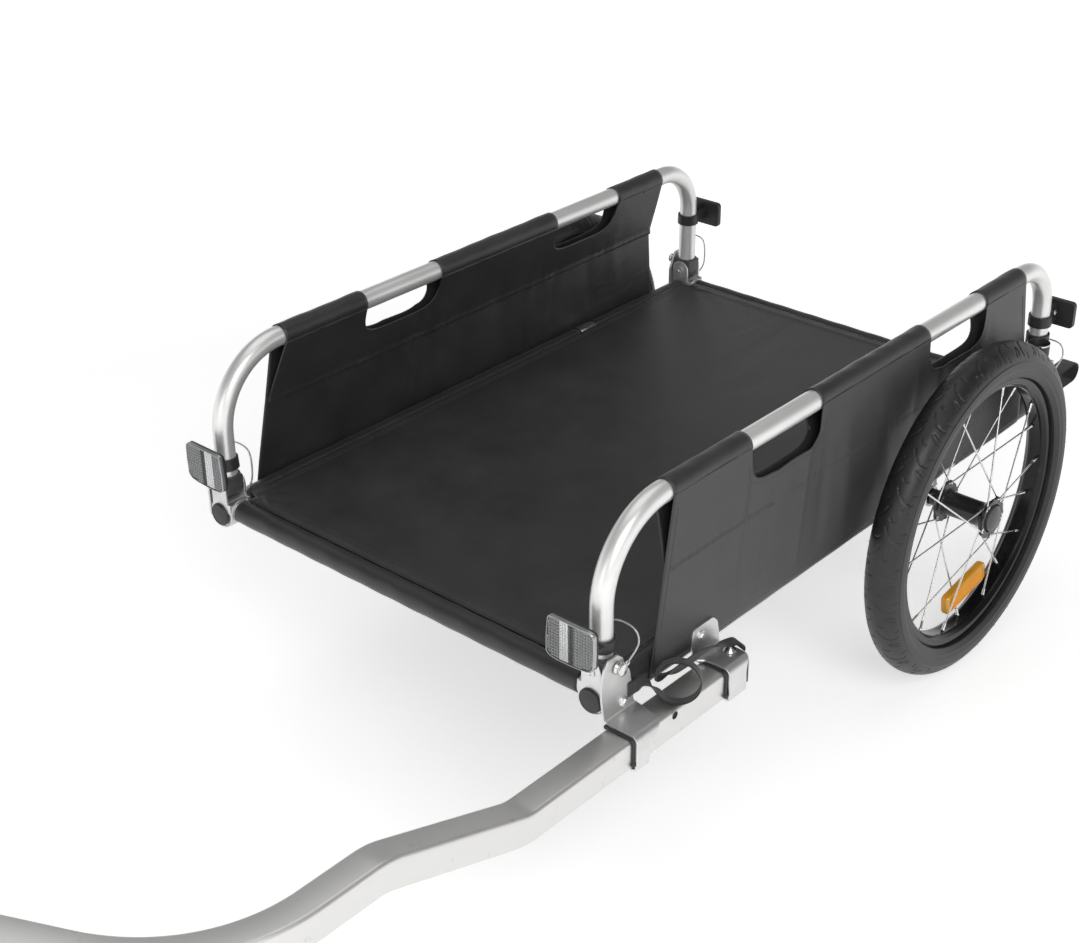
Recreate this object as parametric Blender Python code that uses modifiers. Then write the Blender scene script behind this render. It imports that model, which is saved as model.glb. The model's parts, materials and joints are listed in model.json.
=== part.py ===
"""Flatbed bicycle trailer with folding side hoops, fabric bed, swinging tow bar and quick-release wheels.

Metres, +Z up. The towing end faces -Y and the trailer's left side is +X. The origin is on the ground at the
centre of the outline. Heights are above the ground, and lengths along Y are measured from the wheel axle.
"""
import math

import bmesh
import bpy
from mathutils import Matrix, Vector

# Fits
FIT = 0.0003            # gap between pieces that touch, rest or are cut by each other
PRESS_IN = 0.0003       # gap round a plug or spigot in its tube

# Wheels
TYRE_RADIUS = 0.200
TYRE_SECTION = 0.023
TYRE_WALL = 0.003
RIM_LIP_RADIUS = 0.161
RIM_INNER_RADIUS = 0.149
RIM_HALF_WIDTH = 0.0135
RIM_WALL = 0.002
WHEEL_SIDES = 28
SPOKE_COUNT = 20
SPOKE_RADIUS = 0.001
NIPPLE_RADIUS = 0.0021
NIPPLE_LENGTH = 0.012
SPOKE_LEAN_DEG = 62.0
FLANGE_RADIUS = 0.0258
FLANGE_THICK = 0.0030
SPOKE_CIRCLE = 0.0222
HUB_BARREL_RADIUS = 0.0145
HUB_BOSS_RADIUS = 0.0098
HUB_INNER_REACH = 0.0485
INNER_FLANGE_OFFSET = 0.0331
OUTER_FLANGE_OFFSET = 0.0290
HUB_RECESS_RADIUS = 0.0165
HUB_RECESS_DEPTH = 0.0045
HUB_SHOULDER_WALL = 0.0022
STUB_RADIUS = 0.006
STUB_ENGAGEMENT = 0.075
CAP_RADIUS = 0.0155
CAP_DEPTH = 0.0068
BUTTON_TRAVEL = 0.003
BUTTON_STEM_RADIUS = 0.003
BUTTON_STEM_LENGTH = 0.018
SPOKE_REFLECTOR_RADIUS = 0.107
SPOKE_REFLECTOR_LENGTH = 0.085
SPOKE_REFLECTOR_HEIGHT = 0.025
SPOKE_REFLECTOR_HALF_THICK = 0.0056
SPOKE_REFLECTOR_ANGLE_DEG = -86.5
SPOKE_REFLECTOR_TILT_DEG = 9.0

# Frame
TUBE_OUTSET = 0.0016     # lower tube centres beyond the axle tube's ends
LOWER_TUBE_RADIUS = 0.0143
LOWER_TUBE_WALL = 0.0015
LOWER_RISE = 0.048       # lower tubes above the axle
LEG_FRONT = 0.5993       # front legs ahead of the axle
LEG_OFF_TYRE = 0.0164    # rear legs behind the tyres
TUBE_OVERHANG = 0.0130   # lower tubes beyond the leg centres
CROSS_TUBE_RADIUS = 0.011
CROSS_TUBE_WALL = 0.0015
CROSS_TUBE_RISE = 0.004  # cross tubes above the lower tubes
AXLE_TUBE_RADIUS = 0.0127
AXLE_TUBE_WALL = 0.002
AXLE_TUBE_HALF = 0.2618
HANGER_WIDTH = 0.030
HANGER_THICK = 0.010
PLUG_HEAD_RADIUS = 0.0130
PLUG_HEAD = 0.0042
PLUG_SHANK = 0.015

# Corner fittings and knuckles
PIVOT_RISE = 0.031       # fold axis above the lower tubes
FITTING_WALL = 0.0017
FITTING_HALF_LENGTH = 0.0136
CHEEK_THICK = 0.0030
CHEEK_RADIUS = 0.0120
KNUCKLE_RADIUS = 0.0125
KNUCKLE_HALF_WIDTH = 0.0111
COLLAR_RADIUS = 0.0139
SPIGOT_LENGTH = 0.025
PIVOT_BOLT_RADIUS = 0.003
EAR_THICK = 0.0028
EAR_TOP_RISE = 0.0193    # top of the ear plate above the fold axis

# Hoops
HOOP_RADIUS = 0.01125
HOOP_WALL = 0.0015
HOOP_SIDES = 12
RAIL_RISE = 0.178        # rail above the lower tubes
FRONT_BEND = 0.085
REAR_BEND = 0.060

# Fabric
CLOTH = 0.0012
PANEL_CLOTH = 0.0010
SLEEVE_FRONT = 0.512
SLEEVE_REAR = 0.142
PANEL_FRONT_BOTTOM = 0.5393
PANEL_REAR_BOTTOM = 0.1600
SKIRT_FRONT = 0.550
WINDOW_FRONT_START = 0.391
WINDOW_REAR_START = 0.067
WINDOW_LENGTH = 0.1195
WINDOW_DROP = 0.045
FLOOR_INSET = 0.0205     # floor edge inside the tube axis beside the corner fittings

# Lock pins
PIN_RISE = 0.0065        # lock pins above the fold axis
PIN_RADIUS = 0.003
PIN_HEAD_RADIUS = 0.0065
PIN_HEAD_LENGTH = 0.008
CABLE_RADIUS = 0.001
CABLE_RISE = 0.0365       # crown of the cable above the fold axis
CABLE_BACK = 0.0105      # cable behind the cheek

# Reflectors
REFLECTOR_BACK = 0.006
LENS_THICK = 0.004
FRONT_REFLECTOR_WIDTH = 0.058
FRONT_REFLECTOR_HEIGHT = 0.045
FRONT_REFLECTOR_CORNER = 0.007
FRONT_REFLECTOR_RISE = 0.0375  # above the fold axis
FRONT_CLAMP_DROP = 0.010       # band's middle below the reflector's
FRONT_REFLECTOR_INSET = 0.008
FRONT_REFLECTOR_REACH = 0.0357
REAR_REFLECTOR_WIDTH = 0.054
REAR_REFLECTOR_HEIGHT = 0.033
REAR_REFLECTOR_CORNER = 0.005
REAR_REFLECTOR_RISE = 0.071
REAR_REFLECTOR_REACH = 0.0420
CLAMP_WALL = 0.0023
CLAMP_LENGTH = 0.014

# Flag pole socket on the rear left leg
SOCKET_RADIUS = 0.013
SOCKET_WALL = 0.002
SOCKET_LENGTH = 0.060
SOCKET_TOP_RISE = 0.064
SOCKET_OFF_TYRE = 0.0058  # foot of the cup's axis beyond the tread
SOCKET_OUT = 0.0236

# Tow bar and its receivers
BAR_SIZE = 0.032
BAR_CORNER = 0.0045
BAR_WALL = 0.002
BAR_OUTSET = 0.0356      # bar centre outside the lower tube's
BAR_DROP = 0.0365        # bar centre below the lower tubes
BAR_PIVOT = 0.446        # pivot bolt ahead of the axle
BAR_STRAIGHT = 0.311     # from the pivot to the foot of the rise
BAR_RISE_RUN = 0.163
BAR_RISE = 0.058
BAR_LEVEL_RUN = 0.174
BAR_INWARD = 0.214
BAR_INWARD_RUN = 0.146
BAR_CLIMB = 0.0465
BAR_NOSE_RUN = 0.120
BAR_JOGGLE_BEND = 0.070
BAR_SIDE_BEND = 0.196
BAR_NOSE_BEND = 0.100
BAR_HOLE_AHEAD = 0.107
BAR_HOLE_RISE = 0.0105
BAR_HOLE_RADIUS = 0.004
PLATE = 0.0025
LINER = 0.0016
LINER_PROUD = 0.0020
PIVOT_BOLT_SHANK = 0.004
PIVOT_BOLT_HEAD = 0.0070
PIVOT_BOLT_HEAD_HEIGHT = 0.0055
RECEIVER_BOLT_RADIUS = 0.0045
STRAP_WIDTH = 0.016
STRAP_THICK = 0.0014
STRAP_COIL_WIDE = 0.0215
STRAP_COIL_HIGH = 0.0195
STRAP_COIL_AHEAD = 0.0915  # middle of the coil ahead of the pivot bolt

# Webbing loop behind the rear left corner
LOOP_LENGTH = 0.0930
LOOP_HALF_HEIGHT = 0.013
LOOP_WIDTH = 0.020
LOOP_THICK = 0.002

# Hitch end
NECK_RADIUS = 0.012
NECK_LENGTH = 0.040
LUG_THICK = 0.012
LUG_RADIUS = 0.013
TONGUE_THICK = 0.003
TONGUE_LENGTH = 0.075
HITCH_PIN_RADIUS = 0.004
HITCH_PIN_HEAD = 0.009
HITCH_PIN_HEAD_HEIGHT = 0.005

# Places that follow from the sizes above
AXLE_Z = TYRE_RADIUS
TRACK_HALF = AXLE_TUBE_HALF + HUB_INNER_REACH + FIT
TUBE_AXIS_X = AXLE_TUBE_HALF + TUBE_OUTSET
BAR_AXIS_X = TUBE_AXIS_X + BAR_OUTSET
LEG_REAR = TYRE_RADIUS + LEG_OFF_TYRE
LOWER_Z = AXLE_Z + LOWER_RISE
CROSS_Z = LOWER_Z + CROSS_TUBE_RISE
PIVOT_Z = LOWER_Z + PIVOT_RISE
RAIL_Z = LOWER_Z + RAIL_RISE
BAR_Z = LOWER_Z - BAR_DROP
CLOTH_RADIUS = LOWER_TUBE_RADIUS + FIT + CLOTH
SLEEVE_RADIUS = HOOP_RADIUS + FIT + CLOTH
EAR_X = TUBE_AXIS_X + CLOTH_RADIUS + 0.0005
SOCKET_FOOT = LOWER_RISE + PIVOT_RISE + SOCKET_TOP_RISE - SOCKET_LENGTH / 2
SOCKET_Y = math.sqrt((TYRE_RADIUS + SOCKET_OFF_TYRE) ** 2 - SOCKET_FOOT ** 2)
KNUCKLE_BASE = CHEEK_RADIUS + FIT
HOOP_END_Z = PIVOT_Z + KNUCKLE_BASE + 0.002
NOSE_Y = -(BAR_PIVOT + BAR_STRAIGHT + BAR_RISE_RUN + BAR_LEVEL_RUN + BAR_INWARD_RUN + BAR_NOSE_RUN)
HITCH_Y = NOSE_Y - FIT - NECK_LENGTH - LUG_RADIUS
FRONT_REACH = -HITCH_Y + TONGUE_LENGTH
REAR_REACH = LEG_REAR + TUBE_OVERHANG + PLUG_HEAD + FIT + LOOP_LENGTH
AXLE_Y = (FRONT_REACH - REAR_REACH) / 2
ENDS = {"front": -1, "rear": 1}
SIDES = {"left": 1, "right": -1}
LEG_Y = {"front": -LEG_FRONT, "rear": LEG_REAR}

MATERIALS = {
    "hoop_silver": ((0.74, 0.74, 0.73), 0.34, 0.9),
    "aluminium": ((0.62, 0.63, 0.64), 0.32, 1.0),
    "bar_aluminium": ((0.66, 0.67, 0.68), 0.40, 1.0),
    "steel": ((0.55, 0.56, 0.58), 0.28, 1.0),
    "black_plastic": ((0.018, 0.018, 0.019), 0.50, 0.0),
    "fabric": ((0.045, 0.043, 0.042), 0.75, 0.0),
    "webbing": ((0.020, 0.020, 0.021), 0.85, 0.0),
    "tyre": ((0.030, 0.030, 0.031), 0.80, 0.0),
    "rim": ((0.035, 0.035, 0.037), 0.38, 0.7),
    "cap_grey": ((0.30, 0.31, 0.32), 0.45, 0.0),
    "amber": ((0.90, 0.28, 0.03), 0.20, 0.0),
    "lens": ((0.80, 0.81, 0.80), 0.12, 0.0),
    "red_lens": ((0.45, 0.02, 0.02), 0.20, 0.0),
}


def clear_scene():
    for item in list(bpy.data.objects):
        bpy.data.objects.remove(item, do_unlink=True)


def collection(name):
    group = bpy.data.collections.new(name)
    bpy.context.scene.collection.children.link(group)
    return group


clear_scene()
PARTS = collection("flatbed_bike_trailer")
CUTTERS = collection("cutters")


def empty(name, place, parent=None):
    """A pivot or reference point, given in axle coordinates."""
    marker = bpy.data.objects.new(name, None)
    marker.empty_display_size = 0.03
    PARTS.objects.link(marker)
    marker["place"] = tuple(place)
    if parent is None:
        marker.location = Vector(place) + Vector((0, AXLE_Y, 0))
    else:
        marker.parent = parent
        marker.location = Vector(place) - Vector(parent["place"])
    return marker


ORIGIN = empty("trailer_origin", (0, 0, 0))


def material(slot):
    """One Principled material for each slot, shared by name."""
    found = bpy.data.materials.get(slot)
    if found:
        return found
    colour, roughness, metallic = MATERIALS[slot]
    made = bpy.data.materials.new(slot)
    made.use_nodes = True
    shader = made.node_tree.nodes["Principled BSDF"]
    shader.inputs["Base Color"].default_value = (*colour, 1)
    shader.inputs["Roughness"].default_value = roughness
    shader.inputs["Metallic"].default_value = metallic
    return made


def own_material(item, slot):
    """A copy of the slot's material that belongs to this object alone."""
    made = material(slot).copy()
    made.name = item.name + "_" + slot
    item.data.materials.clear()
    item.data.materials.append(made)


def attach(item, parent):
    """Parents an object that was placed in axle coordinates."""
    shift = Vector(parent["place"])
    item.parent = parent
    item.location = item.location - shift


def finish(item, slot, parent=None, sharp_deg=32):
    """Makes an object a part: shading, material and parent."""
    if sharp_deg:
        item.data.shade_smooth()
        item.data.set_sharp_from_angle(angle=math.radians(sharp_deg))
    own_material(item, slot)
    attach(item, parent or ORIGIN)
    return item


def from_bmesh(name, bm, place=(0, 0, 0)):
    mesh = bpy.data.meshes.new(name)
    bm.to_mesh(mesh)
    bm.free()
    item = bpy.data.objects.new(name, mesh)
    item.location = place
    PARTS.objects.link(item)
    return item


def box(name, low, high):
    low = Vector(low)
    high = Vector(high)
    for k in range(3):
        low[k], high[k] = min(low[k], high[k]), max(low[k], high[k])
    size = high - low
    bm = bmesh.new()
    bmesh.ops.create_cube(bm, size=1)
    bmesh.ops.scale(bm, vec=size, verts=bm.verts)
    return from_bmesh(name, bm, (low + high) / 2)


def rod(name, start, end, radius, sides=16):
    """A round bar from one point to another."""
    start = Vector(start)
    end = Vector(end)
    bm = bmesh.new()
    bmesh.ops.create_cone(bm, cap_ends=True, segments=sides, radius1=radius, radius2=radius,
                          depth=(end - start).length)
    item = from_bmesh(name, bm, (start + end) / 2)
    item.rotation_mode = "QUATERNION"
    item.rotation_quaternion = (end - start).to_track_quat("Z", "Y")
    return item


def turned(name, profile, place, axis, steps=24):
    """A turned shape: profile holds (radius, height) pairs, closed on itself or by the axis."""
    area = 0
    for (r0, h0), (r1, h1) in zip(profile, profile[1:] + profile[:1]):
        area += r0 * h1 - r1 * h0
    if area > 0:
        profile = profile[::-1]
    closed = min(r for r, h in profile) > 0
    mesh = bpy.data.meshes.new(name)
    edges = [(k, k + 1) for k in range(len(profile) - 1)]
    if closed:
        edges.append((len(profile) - 1, 0))
    else:
        first = next(k for k in range(len(profile)) if profile[k][0] == 0 and profile[k - 1][0] == 0)
        profile = profile[first:] + profile[:first]
    mesh.from_pydata([(r, 0, h) for r, h in profile], edges, [])
    item = bpy.data.objects.new(name, mesh)
    PARTS.objects.link(item)
    item.location = place
    item.rotation_mode = "QUATERNION"
    item.rotation_quaternion = Vector(axis).to_track_quat("Z", "Y")
    screw = item.modifiers.new("turn", "SCREW")
    screw.axis = "Z"
    screw.steps = steps
    screw.render_steps = steps
    screw.use_merge_vertices = True
    screw.merge_threshold = 0.00001
    return item


def ring(name, start, end, outer, inner, steps=20):
    """A tube with square ends."""
    start = Vector(start)
    end = Vector(end)
    length = (end - start).length
    profile = [(outer, length), (outer, 0), (inner, 0), (inner, length)]
    return turned(name, profile, start, end - start, steps)


def as_mesh(item):
    """Turns a curve or a modified object into a closed mesh object of the same name."""
    bpy.context.view_layer.update()
    graph = bpy.context.evaluated_depsgraph_get()
    mesh = bpy.data.meshes.new_from_object(item.evaluated_get(graph), depsgraph=graph)
    bm = bmesh.new()
    bm.from_mesh(mesh)
    bmesh.ops.remove_doubles(bm, verts=bm.verts, dist=0.00001)
    bmesh.ops.recalc_face_normals(bm, faces=bm.faces)
    bm.to_mesh(mesh)
    bm.free()
    name = item.name
    place = item.matrix_world.copy()
    bpy.data.objects.remove(item, do_unlink=True)
    made = bpy.data.objects.new(name, mesh)
    made.matrix_world = place
    PARTS.objects.link(made)
    return made


def bend(corners, radii, step_deg=12):
    """Points along straight runs whose corners are rounded to the given radii."""
    points = [Vector(corners[0])]
    for before, corner, after, radius in zip(corners, corners[1:], corners[2:], radii):
        corner = Vector(corner)
        into = (corner - Vector(before)).normalized()
        out = (Vector(after) - corner).normalized()
        turn = into.angle(out)
        if radius <= 0 or turn < 0.001:
            points.append(corner)
            continue
        reach = radius * math.tan(turn / 2)
        count = max(2, math.ceil(math.degrees(turn) / step_deg))
        centre = corner - into * reach + (out - into * into.dot(out)).normalized() * radius
        start = corner - into * reach - centre
        axis = into.cross(out).normalized()
        for k in range(count + 1):
            points.append(centre + Matrix.Rotation(turn * k / count, 3, axis) @ start)
    points.append(Vector(corners[-1]))
    return points


def smooth_run(stations, count):
    """Points on a smooth curve through the stations, count to each stretch."""
    ends = [2 * stations[0] - stations[1]] + stations + [2 * stations[-1] - stations[-2]]
    points = []
    for a, b, c, d in zip(ends, ends[1:], ends[2:], ends[3:]):
        for k in range(count):
            t = k / count
            points.append(0.5 * (2 * b + (c - a) * t + (2 * a - 5 * b + 4 * c - d) * t ** 2
                                 + (3 * b - a - 3 * c + d) * t ** 3))
    points.append(stations[-1])
    return points


def rounded(outline, radius, step_deg=45):
    """A closed flat outline with its corners rounded."""
    loop = [Vector((a, b, 0)) for a, b in outline]
    radii = radius if isinstance(radius, (list, tuple)) else [radius] * len(loop)
    points = bend([loop[-1]] + loop + [loop[0]], radii, step_deg)[1:-1]
    return [(p.x, p.y) for p in points]


def plate(name, outline, axis, low, high, holes=()):
    """A flat outline with thickness along an axis.

    The outline's pairs are (y, z) for axis X, (x, z) for axis Y and (x, y) for axis Z.
    """
    data = bpy.data.curves.new(name, "CURVE")
    data.dimensions = "2D"
    data.fill_mode = "BOTH"
    data.extrude = abs(high - low) / 2
    for loop in (outline, *holes):
        spline = data.splines.new("POLY")
        spline.points.add(len(loop) - 1)
        for point, (a, b) in zip(spline.points, loop):
            point.co = (a, b, 0, 1)
        spline.use_cyclic_u = True
    item = bpy.data.objects.new(name, data)
    PARTS.objects.link(item)
    middle = (low + high) / 2
    if axis == "X":
        turn = Matrix(((0, 0, 1), (1, 0, 0), (0, 1, 0)))
        item.location = (middle, 0, 0)
    elif axis == "Y":
        turn = Matrix(((1, 0, 0), (0, 0, -1), (0, 1, 0)))
        item.location = (0, middle, 0)
    else:
        turn = Matrix.Identity(3)
        item.location = (0, 0, middle)
    item.rotation_euler = turn.to_euler()
    return as_mesh(item)


def wire(name, points, radius, resolution=2):
    """A round tube along points."""
    data = bpy.data.curves.new(name, "CURVE")
    data.dimensions = "3D"
    data.bevel_depth = radius
    data.bevel_resolution = resolution
    data.use_fill_caps = True
    spline = data.splines.new("POLY")
    spline.points.add(len(points) - 1)
    for point, place in zip(spline.points, points):
        point.co = (*place, 1)
    item = bpy.data.objects.new(name, data)
    PARTS.objects.link(item)
    return item


def square_tube(name, points, size, corner, step_deg=45):
    """A square section with rounded corners along points, kept upright."""
    half = size / 2
    outline = rounded([(-half, -half), (half, -half), (half, half), (-half, half)], corner, step_deg)
    shape = bpy.data.curves.new(name + "_section", "CURVE")
    shape.dimensions = "2D"
    spline = shape.splines.new("POLY")
    spline.points.add(len(outline) - 1)
    for point, (a, b) in zip(spline.points, outline):
        point.co = (a, b, 0, 1)
    spline.use_cyclic_u = True
    section = bpy.data.objects.new(name + "_section", shape)
    CUTTERS.objects.link(section)
    item = wire(name, points, 0)
    item.data.bevel_mode = "OBJECT"
    item.data.bevel_object = section
    item.data.twist_mode = "Z_UP"
    made = as_mesh(item)
    bpy.data.objects.remove(section, do_unlink=True)
    return made


def combine(target, tool, operation, self_crossing=False):
    """A live Boolean: the tool becomes a cutter or an addition of the target."""
    for group in list(tool.users_collection):
        group.objects.unlink(tool)
    CUTTERS.objects.link(tool)
    tool.name = ("cut_" if operation == "DIFFERENCE" else "add_") + tool.name
    tool.hide_render = True
    tool.display_type = "WIRE"
    tool.parent = ORIGIN
    boolean = target.modifiers.new(tool.name, "BOOLEAN")
    boolean.operation = operation
    boolean.object = tool
    boolean.solver = "EXACT"
    boolean.use_self = self_crossing
    return target


def cut(target, *tools):
    for tool in tools:
        combine(target, tool, "DIFFERENCE")
    return target


def join(target, *tools):
    for tool in tools:
        combine(target, tool, "UNION")
    return target


def lower_tubes():
    front = -LEG_FRONT - TUBE_OVERHANG
    rear = LEG_REAR + TUBE_OVERHANG
    inner = LOWER_TUBE_RADIUS - LOWER_TUBE_WALL
    for side, sign in SIDES.items():
        x = sign * TUBE_AXIS_X
        tube = ring(f"lower_tube_{side}", (x, front, LOWER_Z), (x, rear, LOWER_Z), LOWER_TUBE_RADIUS, inner, 20)
        finish(tube, "aluminium")
        for end, way in ENDS.items():
            mouth = front if end == "front" else rear
            shank = inner - PRESS_IN
            profile = [(0, -PLUG_SHANK), (shank, -PLUG_SHANK), (shank, FIT), (PLUG_HEAD_RADIUS, FIT),
                       (PLUG_HEAD_RADIUS, FIT + PLUG_HEAD * 0.7), (PLUG_HEAD_RADIUS - 0.0012, FIT + PLUG_HEAD),
                       (0, FIT + PLUG_HEAD)]
            plug = turned(f"end_plug_{end}_{side}", profile, (x, mouth, LOWER_Z), (0, way, 0), 14)
            finish(plug, "black_plastic")


def cross_tubes():
    reach = TUBE_AXIS_X - FLOOR_INSET + 0.003
    for end, y in LEG_Y.items():
        tube = ring(f"cross_tube_{end}", (-reach, y, CROSS_Z), (reach, y, CROSS_Z), CROSS_TUBE_RADIUS,
                    CROSS_TUBE_RADIUS - CROSS_TUBE_WALL, 16)
        finish(tube, "aluminium")


def axle_tube():
    """The axle tube with a bushing in each end, and a hanger up to each lower tube."""
    half = AXLE_TUBE_HALF
    wide = AXLE_TUBE_RADIUS - AXLE_TUBE_WALL
    bore = STUB_RADIUS + FIT
    bushing = half - STUB_ENGAGEMENT
    profile = [(AXLE_TUBE_RADIUS, half), (AXLE_TUBE_RADIUS, -half), (bore, -half), (bore, -bushing),
               (wide, -bushing), (wide, bushing), (bore, bushing), (bore, half)]
    tube = as_mesh(turned("axle_tube", profile, (0, 0, AXLE_Z), (1, 0, 0), 16))
    half_width = HANGER_WIDTH / 2
    for side, sign in SIDES.items():
        x = sign * TUBE_AXIS_X
        low = AXLE_Z + AXLE_TUBE_RADIUS * 0.55
        inner = sign * (TUBE_AXIS_X - HANGER_THICK)
        web = box(f"hanger_web_{side}", (inner, -half_width * 0.7, low),
                  (sign * (AXLE_TUBE_HALF - 0.0015), half_width * 0.7, LOWER_Z - 0.004))
        clamp = rod(f"hanger_clamp_{side}", (x, -half_width, LOWER_Z), (x, half_width, LOWER_Z),
                    LOWER_TUBE_RADIUS + FIT + FITTING_WALL, 20)
        hollow = rod(f"hanger_bore_{side}", (x, -half_width * 2, LOWER_Z), (x, half_width * 2, LOWER_Z),
                     LOWER_TUBE_RADIUS + FIT, 20)
        join(tube, web, clamp)
        cut(tube, hollow)
    finish(tube, "steel")


def ear_outline(end):
    """Ear plate seen from the side, as (y, z) pairs."""
    y = LEG_Y[end]
    way = ENDS[end]
    top = PIVOT_Z + EAR_TOP_RISE
    shape = [(0.0145, LOWER_Z - 0.009), (0.0145, top), (-0.0040, top), (-0.0150, PIVOT_Z - 0.003),
             (-0.0150, LOWER_Z - 0.009)]
    return rounded([(y + way * a, z) for a, z in shape], 0.004)


def corner_fitting(end, side):
    """Sleeve on the lower tube, socket for the cross tube and two cheeks that hold the knuckle."""
    y = LEG_Y[end]
    sign = SIDES[side]
    x = sign * TUBE_AXIS_X
    outer = LOWER_TUBE_RADIUS + FIT + FITTING_WALL
    half = FITTING_HALF_LENGTH
    body = rod(f"corner_fitting_{end}_{side}", (x, y - half, LOWER_Z), (x, y + half, LOWER_Z), outer, 16)
    low = LOWER_Z + 0.004
    shoulder = CROSS_Z + CROSS_TUBE_RADIUS + CLOTH - 0.0002
    inner = TUBE_AXIS_X - FLOOR_INSET + 0.0035
    gap = KNUCKLE_HALF_WIDTH + FIT
    arc = []
    for k in range(7):
        angle = math.pi * (1 - k / 6)
        arc.append((TUBE_AXIS_X + CHEEK_RADIUS * math.cos(angle), PIVOT_Z + CHEEK_RADIUS * math.sin(angle)))
    outline = [(inner, low), (inner, shoulder), (arc[0][0], shoulder)] + arc
    outline.append((TUBE_AXIS_X + CHEEK_RADIUS, low))
    outline = [(sign * a, b) for a, b in outline]
    for k, way in enumerate((-1, 1)):
        cheek = plate(f"cheek_{k}_{end}_{side}", outline, "Y", y + way * gap, y + way * (gap + CHEEK_THICK))
        join(body, cheek)
    socket = box(f"socket_{end}_{side}", (sign * inner, y - gap - CHEEK_THICK / 2, low),
                 (x, y + gap + CHEEK_THICK / 2, shoulder))
    bolt = rod(f"pivot_bolt_{end}_{side}", (x, y - gap - CHEEK_THICK - 0.0015, PIVOT_Z),
               (x, y + gap + CHEEK_THICK + 0.0015, PIVOT_Z), PIVOT_BOLT_RADIUS, 10)
    join(body, socket, bolt)
    if (end, side) != ("front", "left"):
        ear = plate(f"ear_{end}_{side}", ear_outline(end), "X", sign * (EAR_X - 0.0018),
                    sign * (EAR_X + EAR_THICK))
        pin_way = rod(f"pin_way_{end}_{side}", (sign * (EAR_X - 0.01), y, PIVOT_Z + PIN_RISE),
                      (sign * (EAR_X + 0.01), y, PIVOT_Z + PIN_RISE), PIN_RADIUS + FIT, 10)
        join(body, ear)
        cut(body, pin_way)
    bore = rod(f"tube_way_{end}_{side}", (x, y - 0.05, LOWER_Z), (x, y + 0.05, LOWER_Z),
               LOWER_TUBE_RADIUS + 0.0004, 16)
    cross = rod(f"cross_way_{end}_{side}", (sign * (inner - 0.02), y, CROSS_Z),
                (sign * (inner + 0.0005), y, CROSS_Z), CROSS_TUBE_RADIUS + FIT, 16)
    cut(body, bore, cross)
    finish(body, "aluminium")


def knuckle(end, side, parent):
    """Pivots between the cheeks and plugs into the hoop's end."""
    y = LEG_Y[end]
    sign = SIDES[side]
    x = sign * TUBE_AXIS_X
    half = KNUCKLE_HALF_WIDTH
    top = PIVOT_Z + KNUCKLE_BASE
    arc = []
    for k in range(7):
        angle = math.pi * (1 + k / 6)
        arc.append((x + KNUCKLE_RADIUS * math.cos(angle), PIVOT_Z + KNUCKLE_RADIUS * math.sin(angle)))
    outline = arc + [(x + KNUCKLE_RADIUS, top + 0.001), (x - KNUCKLE_RADIUS, top + 0.001)]
    body = plate(f"knuckle_{end}_{side}", outline, "Y", y - half, y + half)
    inner = (HOOP_RADIUS - HOOP_WALL) * math.cos(math.pi / HOOP_SIDES) - PRESS_IN
    profile = [(0, 0), (COLLAR_RADIUS, 0), (COLLAR_RADIUS, 0.002 - FIT), (inner, 0.002 - FIT),
               (inner, SPIGOT_LENGTH),
               (0, SPIGOT_LENGTH)]
    collar = as_mesh(turned(f"collar_{end}_{side}", profile, (x, y, top), (0, 0, 1), 16))
    bore = rod(f"bolt_way_{end}_{side}", (x, y - 0.03, PIVOT_Z), (x, y + 0.03, PIVOT_Z),
               PIVOT_BOLT_RADIUS + FIT, 10)
    join(body, collar)
    cut(body, bore)
    finish(body, "black_plastic", parent)


def hoop(side, parent):
    """One bent tube: front leg, rail and rear leg."""
    x = SIDES[side] * TUBE_AXIS_X
    corners = [(x, -LEG_FRONT, HOOP_END_Z), (x, -LEG_FRONT, RAIL_Z), (x, LEG_REAR, RAIL_Z),
               (x, LEG_REAR, HOOP_END_Z)]
    points = bend(corners, (FRONT_BEND, REAR_BEND), 18)
    tube = as_mesh(wire(f"hoop_{side}", points, HOOP_RADIUS, HOOP_SIDES // 2 - 2))
    drop = Vector((0, 0, 0.01))
    longer = [points[0] - drop] + points[1:-1] + [points[-1] - drop]
    bore = as_mesh(wire(f"hoop_bore_{side}", longer, HOOP_RADIUS - HOOP_WALL, HOOP_SIDES // 2 - 2))
    cut(tube, bore)
    finish(tube, "hoop_silver", parent)


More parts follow.
